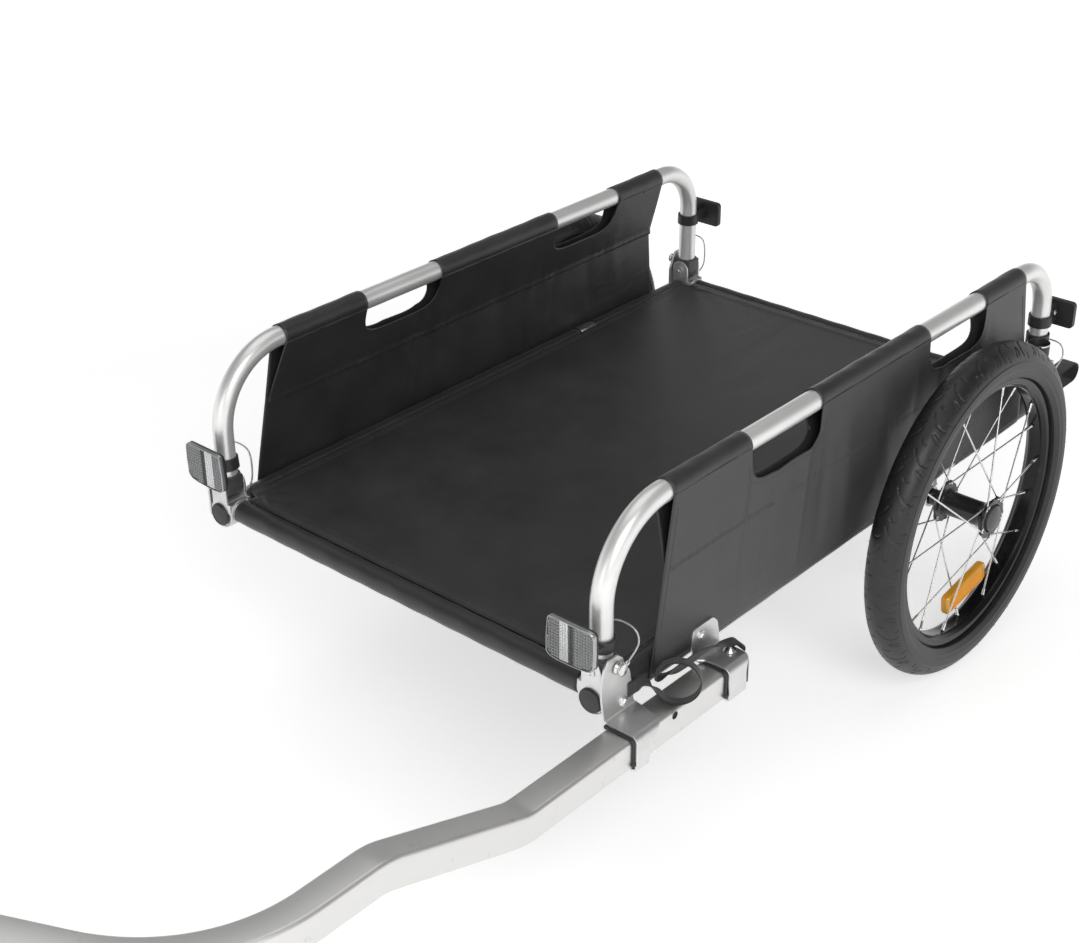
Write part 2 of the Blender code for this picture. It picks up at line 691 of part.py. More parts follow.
def side_panel(side, parent):
    """Upper side fabric: a sleeve round the rail, with two windows, and the sheet below it."""
    sign = SIDES[side]
    x = sign * TUBE_AXIS_X
    sleeve = as_mesh(ring(f"side_panel_{side}", (x, -SLEEVE_FRONT, RAIL_Z), (x, SLEEVE_REAR, RAIL_Z),
                          SLEEVE_RADIUS,
                          SLEEVE_RADIUS - CLOTH, 16))
    bottom = PIVOT_Z + FIT
    outline = [(-SLEEVE_FRONT + 0.0005, RAIL_Z), (SLEEVE_REAR - 0.0005, RAIL_Z), (PANEL_REAR_BOTTOM, bottom),
               (-PANEL_FRONT_BOTTOM, bottom)]
    outline = [(y, z - RAIL_Z) for y, z in outline]
    sheet = plate(f"side_sheet_{side}", outline, "X", -PANEL_CLOTH / 2, PANEL_CLOTH / 2)
    lean = math.atan((CLOTH_RADIUS - SLEEVE_RADIUS) / (RAIL_Z - PIVOT_Z))
    sheet.location = (x + sign * (SLEEVE_RADIUS - CLOTH / 2), 0, RAIL_Z)
    sheet.matrix_world = (Matrix.Translation(sheet.location) @ Matrix.Rotation(-sign * lean, 4, "Y")
                          @ sheet.rotation_euler.to_matrix().to_4x4())
    join(sleeve, sheet)
    for k, start in enumerate((WINDOW_FRONT_START, WINDOW_REAR_START)):
        window = box(f"window_{k}_{side}", (x - 0.03, -start, RAIL_Z - WINDOW_DROP),
                     (x + 0.03, -start + WINDOW_LENGTH, RAIL_Z + 0.03))
        cut(sleeve, window)
    finish(sleeve, "fabric", parent)


def bed():
    """Floor sheet, sleeves round the cross tubes and lower tubes, and the strips below the side panels."""
    top = LOWER_Z + math.sqrt(CLOTH_RADIUS ** 2 - 0.006 ** 2)
    middle = (top - CLOTH / 2) - CROSS_Z
    wrap = CROSS_TUBE_RADIUS + FIT + CLOTH / 2
    tuck = math.sqrt(wrap ** 2 - middle ** 2)
    narrow = TUBE_AXIS_X - FLOOR_INSET
    wide = TUBE_AXIS_X - 0.006
    outline = []
    for sign in (1, -1):
        run = [(narrow, -LEG_FRONT + tuck), (narrow, -LEG_FRONT + 0.019), (wide, -LEG_FRONT + 0.024),
               (wide, LEG_REAR - 0.024), (narrow, LEG_REAR - 0.019), (narrow, LEG_REAR - tuck)]
        outline += [(sign * a, b) for a, b in (run if sign == 1 else run[::-1])]
    sheet = plate("bed_fabric", outline, "Z", top - CLOTH, top)
    for side, sign in SIDES.items():
        x = sign * TUBE_AXIS_X
        strip = as_mesh(ring(f"skirt_{side}", (x, -SKIRT_FRONT, LOWER_Z), (x, PANEL_REAR_BOTTOM, LOWER_Z),
                             CLOTH_RADIUS, CLOTH_RADIUS - CLOTH, 20))
        near = x + sign * (CLOTH_RADIUS - CLOTH + 0.0001)
        far = x + sign * (CLOTH_RADIUS - 0.0001)
        rise = box(f"skirt_rise_{side}", (near, -PANEL_FRONT_BOTTOM, LOWER_Z), (far, PANEL_REAR_BOTTOM - 0.0005,
                                                                                PIVOT_Z - FIT))
        join(sheet, strip, rise)
    for end, y in LEG_Y.items():
        wrapped = as_mesh(ring(f"wrap_{end}", (-narrow, y, CROSS_Z), (narrow, y, CROSS_Z),
                               CROSS_TUBE_RADIUS + FIT + CLOTH, CROSS_TUBE_RADIUS + FIT, 16))
        join(sheet, wrapped)
    room = HANGER_WIDTH / 2 + 0.001
    reach = LOWER_TUBE_RADIUS + FIT + FITTING_WALL + FIT
    for side, sign in SIDES.items():
        x = sign * TUBE_AXIS_X
        notch = box(f"hanger_notch_{side}", (x - sign * reach, -room, LOWER_Z - 0.03),
                    (x + sign * reach, room, LOWER_Z + reach))
        cut(sheet, notch)
    finish(sheet, "fabric")


def receiver_front():
    """Sheet metal channel that the tow bar rests in, with a web bolted to the lower tube."""
    top = BAR_Z + BAR_SIZE / 2 + FIT + LINER + FIT
    low = BAR_Z - BAR_SIZE / 2 - FIT
    wall = BAR_AXIS_X + BAR_SIZE / 2 + FIT + LINER + FIT
    front = -LEG_FRONT - 0.0157
    peak = PIVOT_Z + EAR_TOP_RISE
    web_shape = [(front + 0.001, peak), (front + 0.0195, peak - 0.001), (front + 0.0268, PIVOT_Z + 0.002),
                 (front + 0.0360, PIVOT_Z - 0.008), (front + 0.0405, LOWER_Z - 0.008), (front + 0.0445, top),
                 (front, top),
                 (front - 0.0060, PIVOT_Z - 0.010)]
    web = plate("receiver_front", rounded(web_shape, [0.004, 0.005, 0.004, 0.006, 0.006, 0, 0, 0.012]), "X",
                EAR_X,
                EAR_X + PLATE)
    flange = plate("front_flange", [(EAR_X, front), (wall + PLATE, front), (wall + PLATE, front + 0.025),
                                    (BAR_AXIS_X, front + 0.040), (EAR_X, front + 0.044)], "Z", top, top + PLATE)
    side = plate("front_wall", rounded([(front, top + PLATE), (front + 0.0310, top + PLATE),
                                        (front + 0.0190, BAR_Z + 0.007),
                                        (front + 0.0190, low - PLATE), (front, low - PLATE)], 0.0015),
                 "X", wall, wall + PLATE)
    lip = box("front_lip", (BAR_AXIS_X, front, low - PLATE), (wall + PLATE / 2, front + 0.0190, low))
    join(web, flange, side, lip)
    bolt_y = -LEG_FRONT + 0.0106
    bolt_z = LOWER_Z - 0.006
    head = rod("receiver_bolt", (EAR_X, bolt_y, bolt_z), (EAR_X + PLATE + 0.0035, bolt_y, bolt_z),
               RECEIVER_BOLT_RADIUS, 12)
    pin_way = rod("front_pin_way", (EAR_X - 0.01, -LEG_FRONT, PIVOT_Z + PIN_RISE),
                  (EAR_X + 0.01, -LEG_FRONT, PIVOT_Z + PIN_RISE), PIN_RADIUS + FIT, 10)
    join(web, head)
    cut(web, pin_way)
    finish(web, "aluminium")
    liner("liner_front", front - LINER_PROUD, front + 0.018)


def liner(name, start, end):
    """Plastic strip over the top and down the outer side of the bar."""
    near = BAR_AXIS_X + BAR_SIZE / 2 + FIT
    level = BAR_Z + BAR_SIZE / 2 + FIT
    inner = BAR_AXIS_X - BAR_SIZE / 2
    strip = plate(name, [(inner, level), (near, level), (near, BAR_Z - BAR_SIZE * 0.35),
                         (near + LINER, BAR_Z - BAR_SIZE * 0.35), (near + LINER, level + LINER),
                         (inner, level + LINER)], "Y", start, end)
    return finish(strip, "black_plastic")


def receiver_rear():
    """Channel round the bar's tail, with the pivot bolt through it."""
    top = BAR_Z + BAR_SIZE / 2 + FIT + LINER + FIT
    low = BAR_Z - BAR_SIZE / 2 - FIT
    wall = BAR_AXIS_X + BAR_SIZE / 2 + FIT + LINER + FIT
    front = -BAR_PIVOT - 0.036
    rear = -BAR_PIVOT + 0.012
    web_shape = [(front - 0.002, top), (front - 0.0025, LOWER_Z + 0.0115), (front + 0.008, LOWER_Z + 0.0187),
                 (front + 0.032, LOWER_Z + 0.0146), (front + 0.038, LOWER_Z - 0.002), (front + 0.042, top)]
    web = plate("receiver_rear", rounded(web_shape, [0, 0.004, 0.005, 0.005, 0.004, 0]), "X", EAR_X,
                EAR_X + PLATE)
    outline = [(EAR_X, front - 0.002), (wall + PLATE, front), (wall + PLATE, rear - 0.002),
               (BAR_AXIS_X, rear + 0.002),
               (EAR_X, rear)]
    flange = plate("rear_flange", outline, "Z", top, top + PLATE)
    side = plate("rear_wall", rounded([(front, top + PLATE), (rear - 0.002, top + PLATE), (rear, low - PLATE),
                                       (front + 0.004, low - PLATE)], 0.0015), "X", wall, wall + PLATE)
    floor = box("rear_lip", (BAR_AXIS_X - BAR_SIZE / 2, front + 0.004, low - PLATE),
                (wall + PLATE / 2, rear - 0.001, low))
    join(web, flange, side, floor)
    bolt_y = front + 0.021
    head = rod("rear_receiver_bolt", (EAR_X, bolt_y, LOWER_Z + 0.002),
               (EAR_X + PLATE + 0.0035, bolt_y, LOWER_Z + 0.002),
               RECEIVER_BOLT_RADIUS, 12)
    bolt_way = rod("pivot_way", (BAR_AXIS_X, -BAR_PIVOT, low - 0.02), (BAR_AXIS_X, -BAR_PIVOT, top + 0.02),
                   PIVOT_BOLT_SHANK + FIT, 16)
    join(web, head)
    cut(web, bolt_way)
    finish(web, "aluminium")
    strip = liner("liner_rear", front - LINER_PROUD, rear - 0.004)
    hole = rod("liner_way", (BAR_AXIS_X, -BAR_PIVOT, BAR_Z), (BAR_AXIS_X, -BAR_PIVOT, top + 0.02),
               PIVOT_BOLT_SHANK + FIT, 16)
    cut(strip, hole)
    head_low = top + PLATE + FIT
    foot = low - PLATE - FIT
    profile = [(0, foot - 0.0055), (PIVOT_BOLT_HEAD, foot - 0.0055), (PIVOT_BOLT_HEAD, foot),
               (PIVOT_BOLT_SHANK, foot),
               (PIVOT_BOLT_SHANK, head_low), (PIVOT_BOLT_HEAD, head_low),
               (PIVOT_BOLT_HEAD, head_low + PIVOT_BOLT_HEAD_HEIGHT - 0.001),
               (PIVOT_BOLT_HEAD - 0.001, head_low + PIVOT_BOLT_HEAD_HEIGHT),
               (0, head_low + PIVOT_BOLT_HEAD_HEIGHT)]
    bolt = turned("bar_pivot_bolt", profile, (BAR_AXIS_X, -BAR_PIVOT, 0), (0, 0, 1), 16)
    finish(bolt, "steel")


def bar_route():
    """Centre line of the tow bar from its pivot to its nose."""
    foot = -BAR_PIVOT - BAR_STRAIGHT
    crest = foot - BAR_RISE_RUN
    turn = crest - BAR_LEVEL_RUN
    inner_x = BAR_AXIS_X - BAR_INWARD
    high = BAR_Z + BAR_RISE
    corners = [(BAR_AXIS_X, -BAR_PIVOT, BAR_Z), (BAR_AXIS_X, foot, BAR_Z), (BAR_AXIS_X, crest, high),
               (BAR_AXIS_X, turn, high), (inner_x, turn - BAR_INWARD_RUN, high + BAR_CLIMB),
               (inner_x, NOSE_Y, high + BAR_CLIMB)]
    radii = (BAR_JOGGLE_BEND, BAR_JOGGLE_BEND, BAR_SIDE_BEND, BAR_NOSE_BEND)
    return bend(corners, radii, 14)


def tow_bar(parent):
    """Square tube with a round tail about its pivot bolt, hollow ahead of the rear receiver."""
    points = bar_route()
    bar = square_tube("tow_bar", points, BAR_SIZE, BAR_CORNER)
    half = BAR_SIZE / 2
    tail = rod("bar_tail", (BAR_AXIS_X, -BAR_PIVOT, BAR_Z - half), (BAR_AXIS_X, -BAR_PIVOT, BAR_Z + half),
               half, 20)
    inside = [Vector((BAR_AXIS_X, -BAR_PIVOT - 0.028, BAR_Z))] + points[1:]
    inside[-1] = inside[-1] + Vector((0, -0.01, 0))
    hollow = square_tube("bar_hollow", inside, BAR_SIZE - 2 * BAR_WALL, 0)
    bolt_way = rod("bar_bolt_way", (BAR_AXIS_X, -BAR_PIVOT, BAR_Z - 0.03),
                   (BAR_AXIS_X, -BAR_PIVOT, BAR_Z + 0.03),
                   PIVOT_BOLT_SHANK + FIT, 16)
    y = -BAR_PIVOT - BAR_HOLE_AHEAD
    side_hole = rod("bar_side_hole", (BAR_AXIS_X, y, BAR_Z + BAR_HOLE_RISE), (BAR_AXIS_X + 0.03, y,
                                                                              BAR_Z + BAR_HOLE_RISE),
                    BAR_HOLE_RADIUS, 12)
    join(bar, tail)
    cut(bar, hollow, bolt_way, side_hole)
    finish(bar, "bar_aluminium", parent)


def strap_route():
    """Centre line of the strap and the way its width faces: over the pivot bolt, round one coil and to the front web."""
    x, y = BAR_AXIS_X, -BAR_PIVOT
    plate_top = BAR_Z + BAR_SIZE / 2 + FIT + LINER + FIT + PLATE
    crown = plate_top + 2 * FIT + PIVOT_BOLT_HEAD_HEIGHT + 0.0042
    stations = [((x + 0.0044, y + 0.0106, plate_top + 2 * FIT), (0.96, -0.27, 0.0)),
                ((x + 0.0045, y + 0.0108, plate_top + 0.0050), (0.96, -0.27, 0.0)),
                ((x + 0.0032, y + 0.0070, crown - 0.0010), (0.96, -0.27, 0.0)),
                ((x + 0.0010, y + 0.0010, crown), (0.95, -0.30, 0.05)),
                ((x - 0.0020, y - 0.0060, crown), (0.93, -0.33, 0.15)),
                ((x - 0.0050, y - 0.0130, crown - 0.0002), (0.80, -0.30, 0.50)),
                ((x - 0.0075, y - 0.0210, crown), (0.60, -0.15, 0.78)),
                ((x - 0.0090, y - 0.0320, crown + 0.0002), (0.45, -0.05, 0.89)),
                ((x - 0.0098, y - 0.0440, crown + 0.0002), (0.30, 0.00, 0.95)),
                ((x - 0.0100, y - 0.0580, crown + 0.0002), (0.28, -0.15, 0.93)),
                ((x - 0.0105, y - 0.0730, crown + 0.0012), (0.34, -0.42, 0.80))]
    facing = Vector((0.56, -0.80, 0.20)).normalized()
    wide = Vector((-facing.y, facing.x, 0)).normalized() * STRAP_COIL_WIDE
    high = facing.cross(wide.normalized()) * STRAP_COIL_HIGH
    tilt = STRAP_WIDTH / 2 * facing.z
    foot = BAR_Z + BAR_SIZE / 2 + FIT + STRAP_THICK / 2 + tilt
    centre = Vector((x + 0.0075, y - STRAP_COIL_AHEAD, foot + high.z))
    for k in range(14):
        turn = math.radians(172 - 322 * k / 13)
        shift = facing * (-0.004 + 0.010 * k / 13)
        stations.append((centre + wide * math.cos(turn) + high * math.sin(turn) + shift, facing))
    web = EAR_X + PLATE + FIT + STRAP_THICK / 2
    stations += [((web + 0.0030, y - 0.1150, LOWER_Z + 0.0005), (0.22, -0.45, 0.86)),
                 ((web + 0.0004, y - 0.1240, LOWER_Z + 0.0030), (0.05, -0.10, 0.99)),
                 ((web, y - 0.1310, LOWER_Z + 0.0035), (0, 0, 1)),
                 ((web, y - 0.1370, LOWER_Z + 0.0035), (0, 0, 1))]
    return [Vector(place) for place, _ in stations], [Vector(way) for _, way in stations]


def bar_strap():
    """Webbing strap between the two receivers, its flat section turned along its route."""
    places, ways = strap_route()
    centre = smooth_run(places, 2)
    facing = smooth_run(ways, 2)
    bm = bmesh.new()
    rings = []
    for k, place in enumerate(centre):
        along = (centre[min(k + 1, len(centre) - 1)] - centre[max(k - 1, 0)]).normalized()
        wide = (facing[k] - along * facing[k].dot(along)).normalized() * STRAP_WIDTH / 2
        thick = along.cross(wide).normalized() * STRAP_THICK / 2
        rings.append([bm.verts.new(place + wide * a + thick * b) for a,
                      b in ((-1, -1), (1, -1), (1, 1), (-1, 1))])
    for near, far in zip(rings, rings[1:]):
        for k in range(4):
            bm.faces.new((near[k], near[(k + 1) % 4], far[(k + 1) % 4], far[k]))
    bm.faces.new(rings[0][::-1])
    bm.faces.new(rings[-1])
    bmesh.ops.recalc_face_normals(bm, faces=bm.faces)
    finish(from_bmesh("bar_strap", bm, (0, 0, 0)), "webbing")


def hitch(bar_parent, tongue_parent, pin_parent):
    """Plug and neck in the bar's nose, a steel tongue on its lug and the pin through both."""
    x = BAR_AXIS_X - BAR_INWARD
    z = BAR_Z + BAR_RISE + BAR_CLIMB
    half = BAR_SIZE / 2
    plug_half = half - BAR_WALL - PRESS_IN
    lug_half = LUG_THICK / 2
    neck = rod("hitch_neck", (x, NOSE_Y - FIT, z), (x, HITCH_Y + LUG_RADIUS * 0.5, z), NECK_RADIUS, 16)
    shank = box("hitch_plug", (x - plug_half, NOSE_Y - 0.002, z - plug_half), (x + plug_half, NOSE_Y + 0.030,
                                                                               z + plug_half))
    shoulder = box("hitch_shoulder", (x - half, NOSE_Y - 0.006, z - half), (x + half, NOSE_Y - FIT, z + half))
    lug = rod("hitch_lug", (x, HITCH_Y, z - lug_half), (x, HITCH_Y, z + lug_half), LUG_RADIUS, 16)
    trim = LUG_RADIUS + TONGUE_THICK + 0.002
    above = box("neck_trim_top", (x - 0.02, HITCH_Y - 0.02, z + lug_half), (x + 0.02, HITCH_Y + trim, z + 0.03))
    below = box("neck_trim_low", (x - 0.02, HITCH_Y - 0.02, z - lug_half), (x + 0.02, HITCH_Y + trim, z - 0.03))
    pin_way = rod("lug_way", (x, HITCH_Y, z - 0.03), (x, HITCH_Y, z + 0.03), HITCH_PIN_RADIUS + FIT, 10)
    join(neck, shank, shoulder)
    cut(neck, above, below)
    join(neck, lug)
    cut(neck, pin_way)
    finish(neck, "black_plastic", bar_parent)

    inner = lug_half + FIT
    outer = inner + TONGUE_THICK
    front = HITCH_Y - TONGUE_LENGTH
    back = HITCH_Y + LUG_RADIUS
    plan = [(x - LUG_RADIUS, back), (x + LUG_RADIUS, back), (x + LUG_RADIUS, front), (x - LUG_RADIUS, front)]
    shape = rounded(plan, [LUG_RADIUS * 0.95, LUG_RADIUS * 0.95, 0.006, 0.006])
    tongue = plate("hitch_tongue", shape, "Z", z - outer, z + outer)
    slot = box("tongue_slot", (x - 0.03, HITCH_Y - LUG_RADIUS - 0.004, z - inner),
               (x + 0.03, back + 0.02, z + inner))
    waist = box("tongue_waist", (x - 0.03, front - 0.01, z - outer - 0.001),
                (x + 0.03, HITCH_Y - LUG_RADIUS - 0.010,
                                                                              z - TONGUE_THICK / 2))
    crown = box("tongue_crown", (x - 0.03, front - 0.01, z + TONGUE_THICK / 2),
                (x + 0.03, HITCH_Y - LUG_RADIUS - 0.010,
                                                                                 z + outer + 0.001))
    eye = rod("tongue_eye", (x, front + 0.016, z - 0.03), (x, front + 0.016, z + 0.03), 0.0055, 12)
    way = rod("tongue_way", (x, HITCH_Y, z - 0.03), (x, HITCH_Y, z + 0.03), HITCH_PIN_RADIUS + FIT, 10)
    cut(tongue, slot, waist, crown, eye, way)
    finish(tongue, "steel", tongue_parent)

    head = outer + FIT
    tip = -outer - 0.010
    profile = [(0, tip), (HITCH_PIN_RADIUS * 0.6, tip), (HITCH_PIN_RADIUS, tip + 0.003),
               (HITCH_PIN_RADIUS, head),
               (HITCH_PIN_HEAD, head), (HITCH_PIN_HEAD, head + HITCH_PIN_HEAD_HEIGHT),
               (0, head + HITCH_PIN_HEAD_HEIGHT)]
    pin = turned("hitch_pin", profile, (x, HITCH_Y, z), (0, 0, 1), 16)
    finish(pin, "steel", pin_parent)


def lock_pin(end, side, parent):
    """Pin through the ear plate, in line with the knuckle."""
    y = LEG_Y[end]
    sign = SIDES[side]
    z = PIVOT_Z + PIN_RISE
    nose = TUBE_AXIS_X + KNUCKLE_RADIUS + FIT
    face = EAR_X + EAR_THICK + FIT
    length = face - nose
    profile = [(0, 0), (PIN_RADIUS, 0), (PIN_RADIUS, length), (PIN_HEAD_RADIUS, length),
               (PIN_HEAD_RADIUS, length + PIN_HEAD_LENGTH - 0.002),
               (PIN_HEAD_RADIUS - 0.002, length + PIN_HEAD_LENGTH), (0, length + PIN_HEAD_LENGTH)]
    pin = turned(f"lock_pin_{end}_{side}", profile, (sign * nose, y, z), (sign, 0, 0), 10)
    finish(pin, "steel", parent)

    cheek = KNUCKLE_HALF_WIDTH + FIT + CHEEK_THICK + FIT
    outer_x = face + PIN_HEAD_LENGTH * 0.4
    inner_x = TUBE_AXIS_X - CHEEK_RADIUS
    back = cheek + CABLE_BACK
    crown = PIVOT_Z + CABLE_RISE
    stations = [(outer_x, PIN_HEAD_RADIUS + FIT, z), (outer_x, PIN_HEAD_RADIUS + FIT + 0.006, z + 0.003),
                (outer_x + 0.001, back, z + CABLE_RISE * 0.45), (EAR_X, back, crown),
                (inner_x + 0.004, back, crown - 0.003),
                (inner_x - 0.001, back - 0.002, PIVOT_Z + 0.006),
                (inner_x + 0.003, cheek + 0.005, PIVOT_Z - 0.009),
                (inner_x + 0.004, cheek + 0.0003, PIVOT_Z - 0.009)]
    stations = [Vector((sign * a, y + b, c)) for a, b, c in stations]
    cable = as_mesh(wire(f"pin_cable_{end}_{side}", smooth_run(stations, 2), CABLE_RADIUS, 2))
    finish(cable, "steel")


def reflector_outline(x, z, width, height, corner):
    width /= 2
    height /= 2
    return rounded([(x - width, z - height), (x + width, z - height), (x + width, z + height),
                    (x - width, z + height)],
                   corner)


def leg_clamp(name, x, y, z, length):
    """Band round a hoop's leg."""
    return as_mesh(ring(name, (x, y, z - length / 2), (x, y, z + length / 2), HOOP_RADIUS + FIT + CLAMP_WALL,
                        HOOP_RADIUS + FIT, 16))


def front_reflector(side, parent):
    sign = SIDES[side]
    x = sign * TUBE_AXIS_X
    y = -LEG_FRONT
    z = PIVOT_Z + FRONT_REFLECTOR_RISE
    centre = sign * (TUBE_AXIS_X - FRONT_REFLECTOR_INSET)
    face = y - FRONT_REFLECTOR_REACH
    outline = reflector_outline(centre, z, FRONT_REFLECTOR_WIDTH, FRONT_REFLECTOR_HEIGHT,
                                FRONT_REFLECTOR_CORNER)
    back = plate(f"front_reflector_back_{side}", outline, "Y", face + LENS_THICK + FIT,
                 face + LENS_THICK + FIT + REFLECTOR_BACK)
    start = face + LENS_THICK + FIT + REFLECTOR_BACK - 0.001
    band = z - FRONT_CLAMP_DROP
    arm = box(f"front_arm_{side}", (x - 0.007, start, band - 0.006), (x + 0.007, y - HOOP_RADIUS - FIT - 0.0010,
                                                                      band + 0.006))
    clamp = leg_clamp(f"front_clamp_{side}", x, y, band, CLAMP_LENGTH)
    join(back, arm, clamp)
    finish(back, "black_plastic", parent)
    lens = plate(f"front_reflector_lens_{side}", outline, "Y", face, face + LENS_THICK)
    finish(lens, "lens", parent)


def rear_reflector(side, parent):
    """Housing with its lens on an arm behind the rear leg."""
    sign = SIDES[side]
    x = sign * TUBE_AXIS_X
    y = LEG_REAR
    z = PIVOT_Z + REAR_REFLECTOR_RISE
    face = y + REAR_REFLECTOR_REACH
    inner = face - LENS_THICK - REFLECTOR_BACK
    outline = reflector_outline(x, z, REAR_REFLECTOR_WIDTH, REAR_REFLECTOR_HEIGHT, REAR_REFLECTOR_CORNER)
    back = plate(f"rear_reflector_{side}", outline, "Y", inner, face)
    arm = box(f"rear_arm_{side}", (x - 0.006, y + HOOP_RADIUS + FIT + 0.001, z - 0.006),
              (x + 0.006, inner + 0.001,
                                                                                         z + 0.006))
    clamp = leg_clamp(f"rear_clamp_{side}", x, y, z, CLAMP_LENGTH)
    join(back, arm, clamp)
    finish(back, "red_lens", parent)


def flag_socket(parent):
    """Short cup beside the rear left leg, open at the top."""
    x = TUBE_AXIS_X + SOCKET_OUT
    y = SOCKET_Y
    top = PIVOT_Z + SOCKET_TOP_RISE
    bottom = top - SOCKET_LENGTH * 0.5
    inner = SOCKET_RADIUS - SOCKET_WALL
    depth = top - bottom
    profile = [(0, 0), (SOCKET_RADIUS, 0), (SOCKET_RADIUS, depth), (inner, depth), (inner, 0.004), (0, 0.004)]
    cup = as_mesh(turned("flag_socket", profile, (x, y, bottom), (0, 0, 1), 16))
    z = top - depth * 0.55
    clamp = leg_clamp("socket_clamp", TUBE_AXIS_X, LEG_REAR, z, 0.014)
    start = Vector((x, y, z))
    leg = Vector((TUBE_AXIS_X, LEG_REAR, z))
    along = (leg - start).normalized()
    arm = rod("socket_arm", start + along * (SOCKET_RADIUS - 0.001), leg - along * (HOOP_RADIUS + FIT + 0.001),
              0.005, 12)
    join(cup, clamp, arm)
    finish(cup, "black_plastic", parent)


def webbing_loop():
    """Flat loop of webbing behind the rear left corner."""
    start = LEG_REAR + TUBE_OVERHANG + PLUG_HEAD + 2 * FIT
    end = start + LOOP_LENGTH - FIT
    high = LOOP_HALF_HEIGHT
    outer = rounded([(start, LOWER_Z - high), (end, LOWER_Z - high), (end, LOWER_Z + high),
                     (start, LOWER_Z + high)],
                    [0.004, high * 0.98, high * 0.98, 0.004])
    t = LOOP_THICK
    inside = high - t
    inner = rounded([(start + t, LOWER_Z - inside), (end - t, LOWER_Z - inside), (end - t, LOWER_Z + inside),
                     (start + t, LOWER_Z + inside)], [0.003, inside * 0.98, inside * 0.98, 0.003])
    loop = plate("webbing_loop", outer, "X", TUBE_AXIS_X - LOOP_WIDTH / 2, TUBE_AXIS_X + LOOP_WIDTH / 2,
                 [inner])
    finish(loop, "webbing")


def tyre(side, x, parent):
    """Open tyre section: beads inside the rim's lips and a round carcass, the wall even round both."""
    centre = TYRE_RADIUS - TYRE_SECTION
    lip = RIM_HALF_WIDTH - RIM_WALL - FIT
    seat = RIM_INNER_RADIUS + 2 * RIM_WALL + FIT
    clear = RIM_LIP_RADIUS + 0.0012
    inner = TYRE_SECTION - TYRE_WALL
    outside = []
    inside = []
    for k in range(9):
        angle = math.radians(-36 + 252 * k / 8)
        outside.append((centre + TYRE_SECTION * math.sin(angle), TYRE_SECTION * math.cos(angle)))
    for k in range(4):
        angle = math.radians(-30 + 240 * k / 3)
        inside.append((centre + inner * math.sin(angle), inner * math.cos(angle)))
    bead = lip - TYRE_WALL
    profile = ([(seat, lip), (clear, lip)] + outside + [(clear, -lip), (seat, -lip), (seat, -bead),
                                                        (clear + TYRE_WALL, -bead)]
               + inside[::-1] + [(clear + TYRE_WALL, bead), (seat, bead)])
    item = turned(f"tyre_{side}", profile, (x, 0, AXLE_Z), (1, 0, 0), WHEEL_SIDES)
    finish(item, "tyre", parent)


def rim(side, x, parent):
    w = RIM_HALF_WIDTH
    t = RIM_WALL
    floor = RIM_INNER_RADIUS + 2 * t
    profile = [(RIM_INNER_RADIUS, -w * 0.5), (RIM_INNER_RADIUS + 0.004, -w + 0.001), (RIM_LIP_RADIUS, -w),
               (RIM_LIP_RADIUS, -w + t), (floor, -w + t), (floor, w - t), (RIM_LIP_RADIUS, w - t),
               (RIM_LIP_RADIUS, w),
               (RIM_INNER_RADIUS + 0.004, w - 0.001), (RIM_INNER_RADIUS, w * 0.5)]
    item = turned(f"rim_{side}", profile, (x, 0, AXLE_Z), (1, 0, 0), WHEEL_SIDES)
    finish(item, "rim", parent)


def add_spoke(bm, root, head):
    """One spoke with its thicker nipple, as one solid inside a shared mesh."""
    along = (head - root).normalized()
    step = head - along * NIPPLE_LENGTH
    turn = along.to_track_quat("Z", "Y").to_matrix().to_4x4()
    made = bmesh.ops.create_cone(bm, cap_ends=True, segments=4, radius1=SPOKE_RADIUS, radius2=SPOKE_RADIUS,
                                 depth=(step - root).length,
                                 matrix=Matrix.Translation((root + step) / 2) @ turn)
    faces = {face for vert in made["verts"] for face in vert.link_faces}
    cap = max(faces, key=lambda face: face.calc_center_median().dot(along) + face.normal.dot(along))
    for grow, shift in ((NIPPLE_RADIUS / SPOKE_RADIUS, 0), (1, NIPPLE_LENGTH)):
        cap = bmesh.ops.extrude_discrete_faces(bm, faces=[cap])["faces"][0]
        middle = cap.calc_center_median()
        for vert in cap.verts:
            vert.co = middle + (vert.co - middle) * grow + along * shift


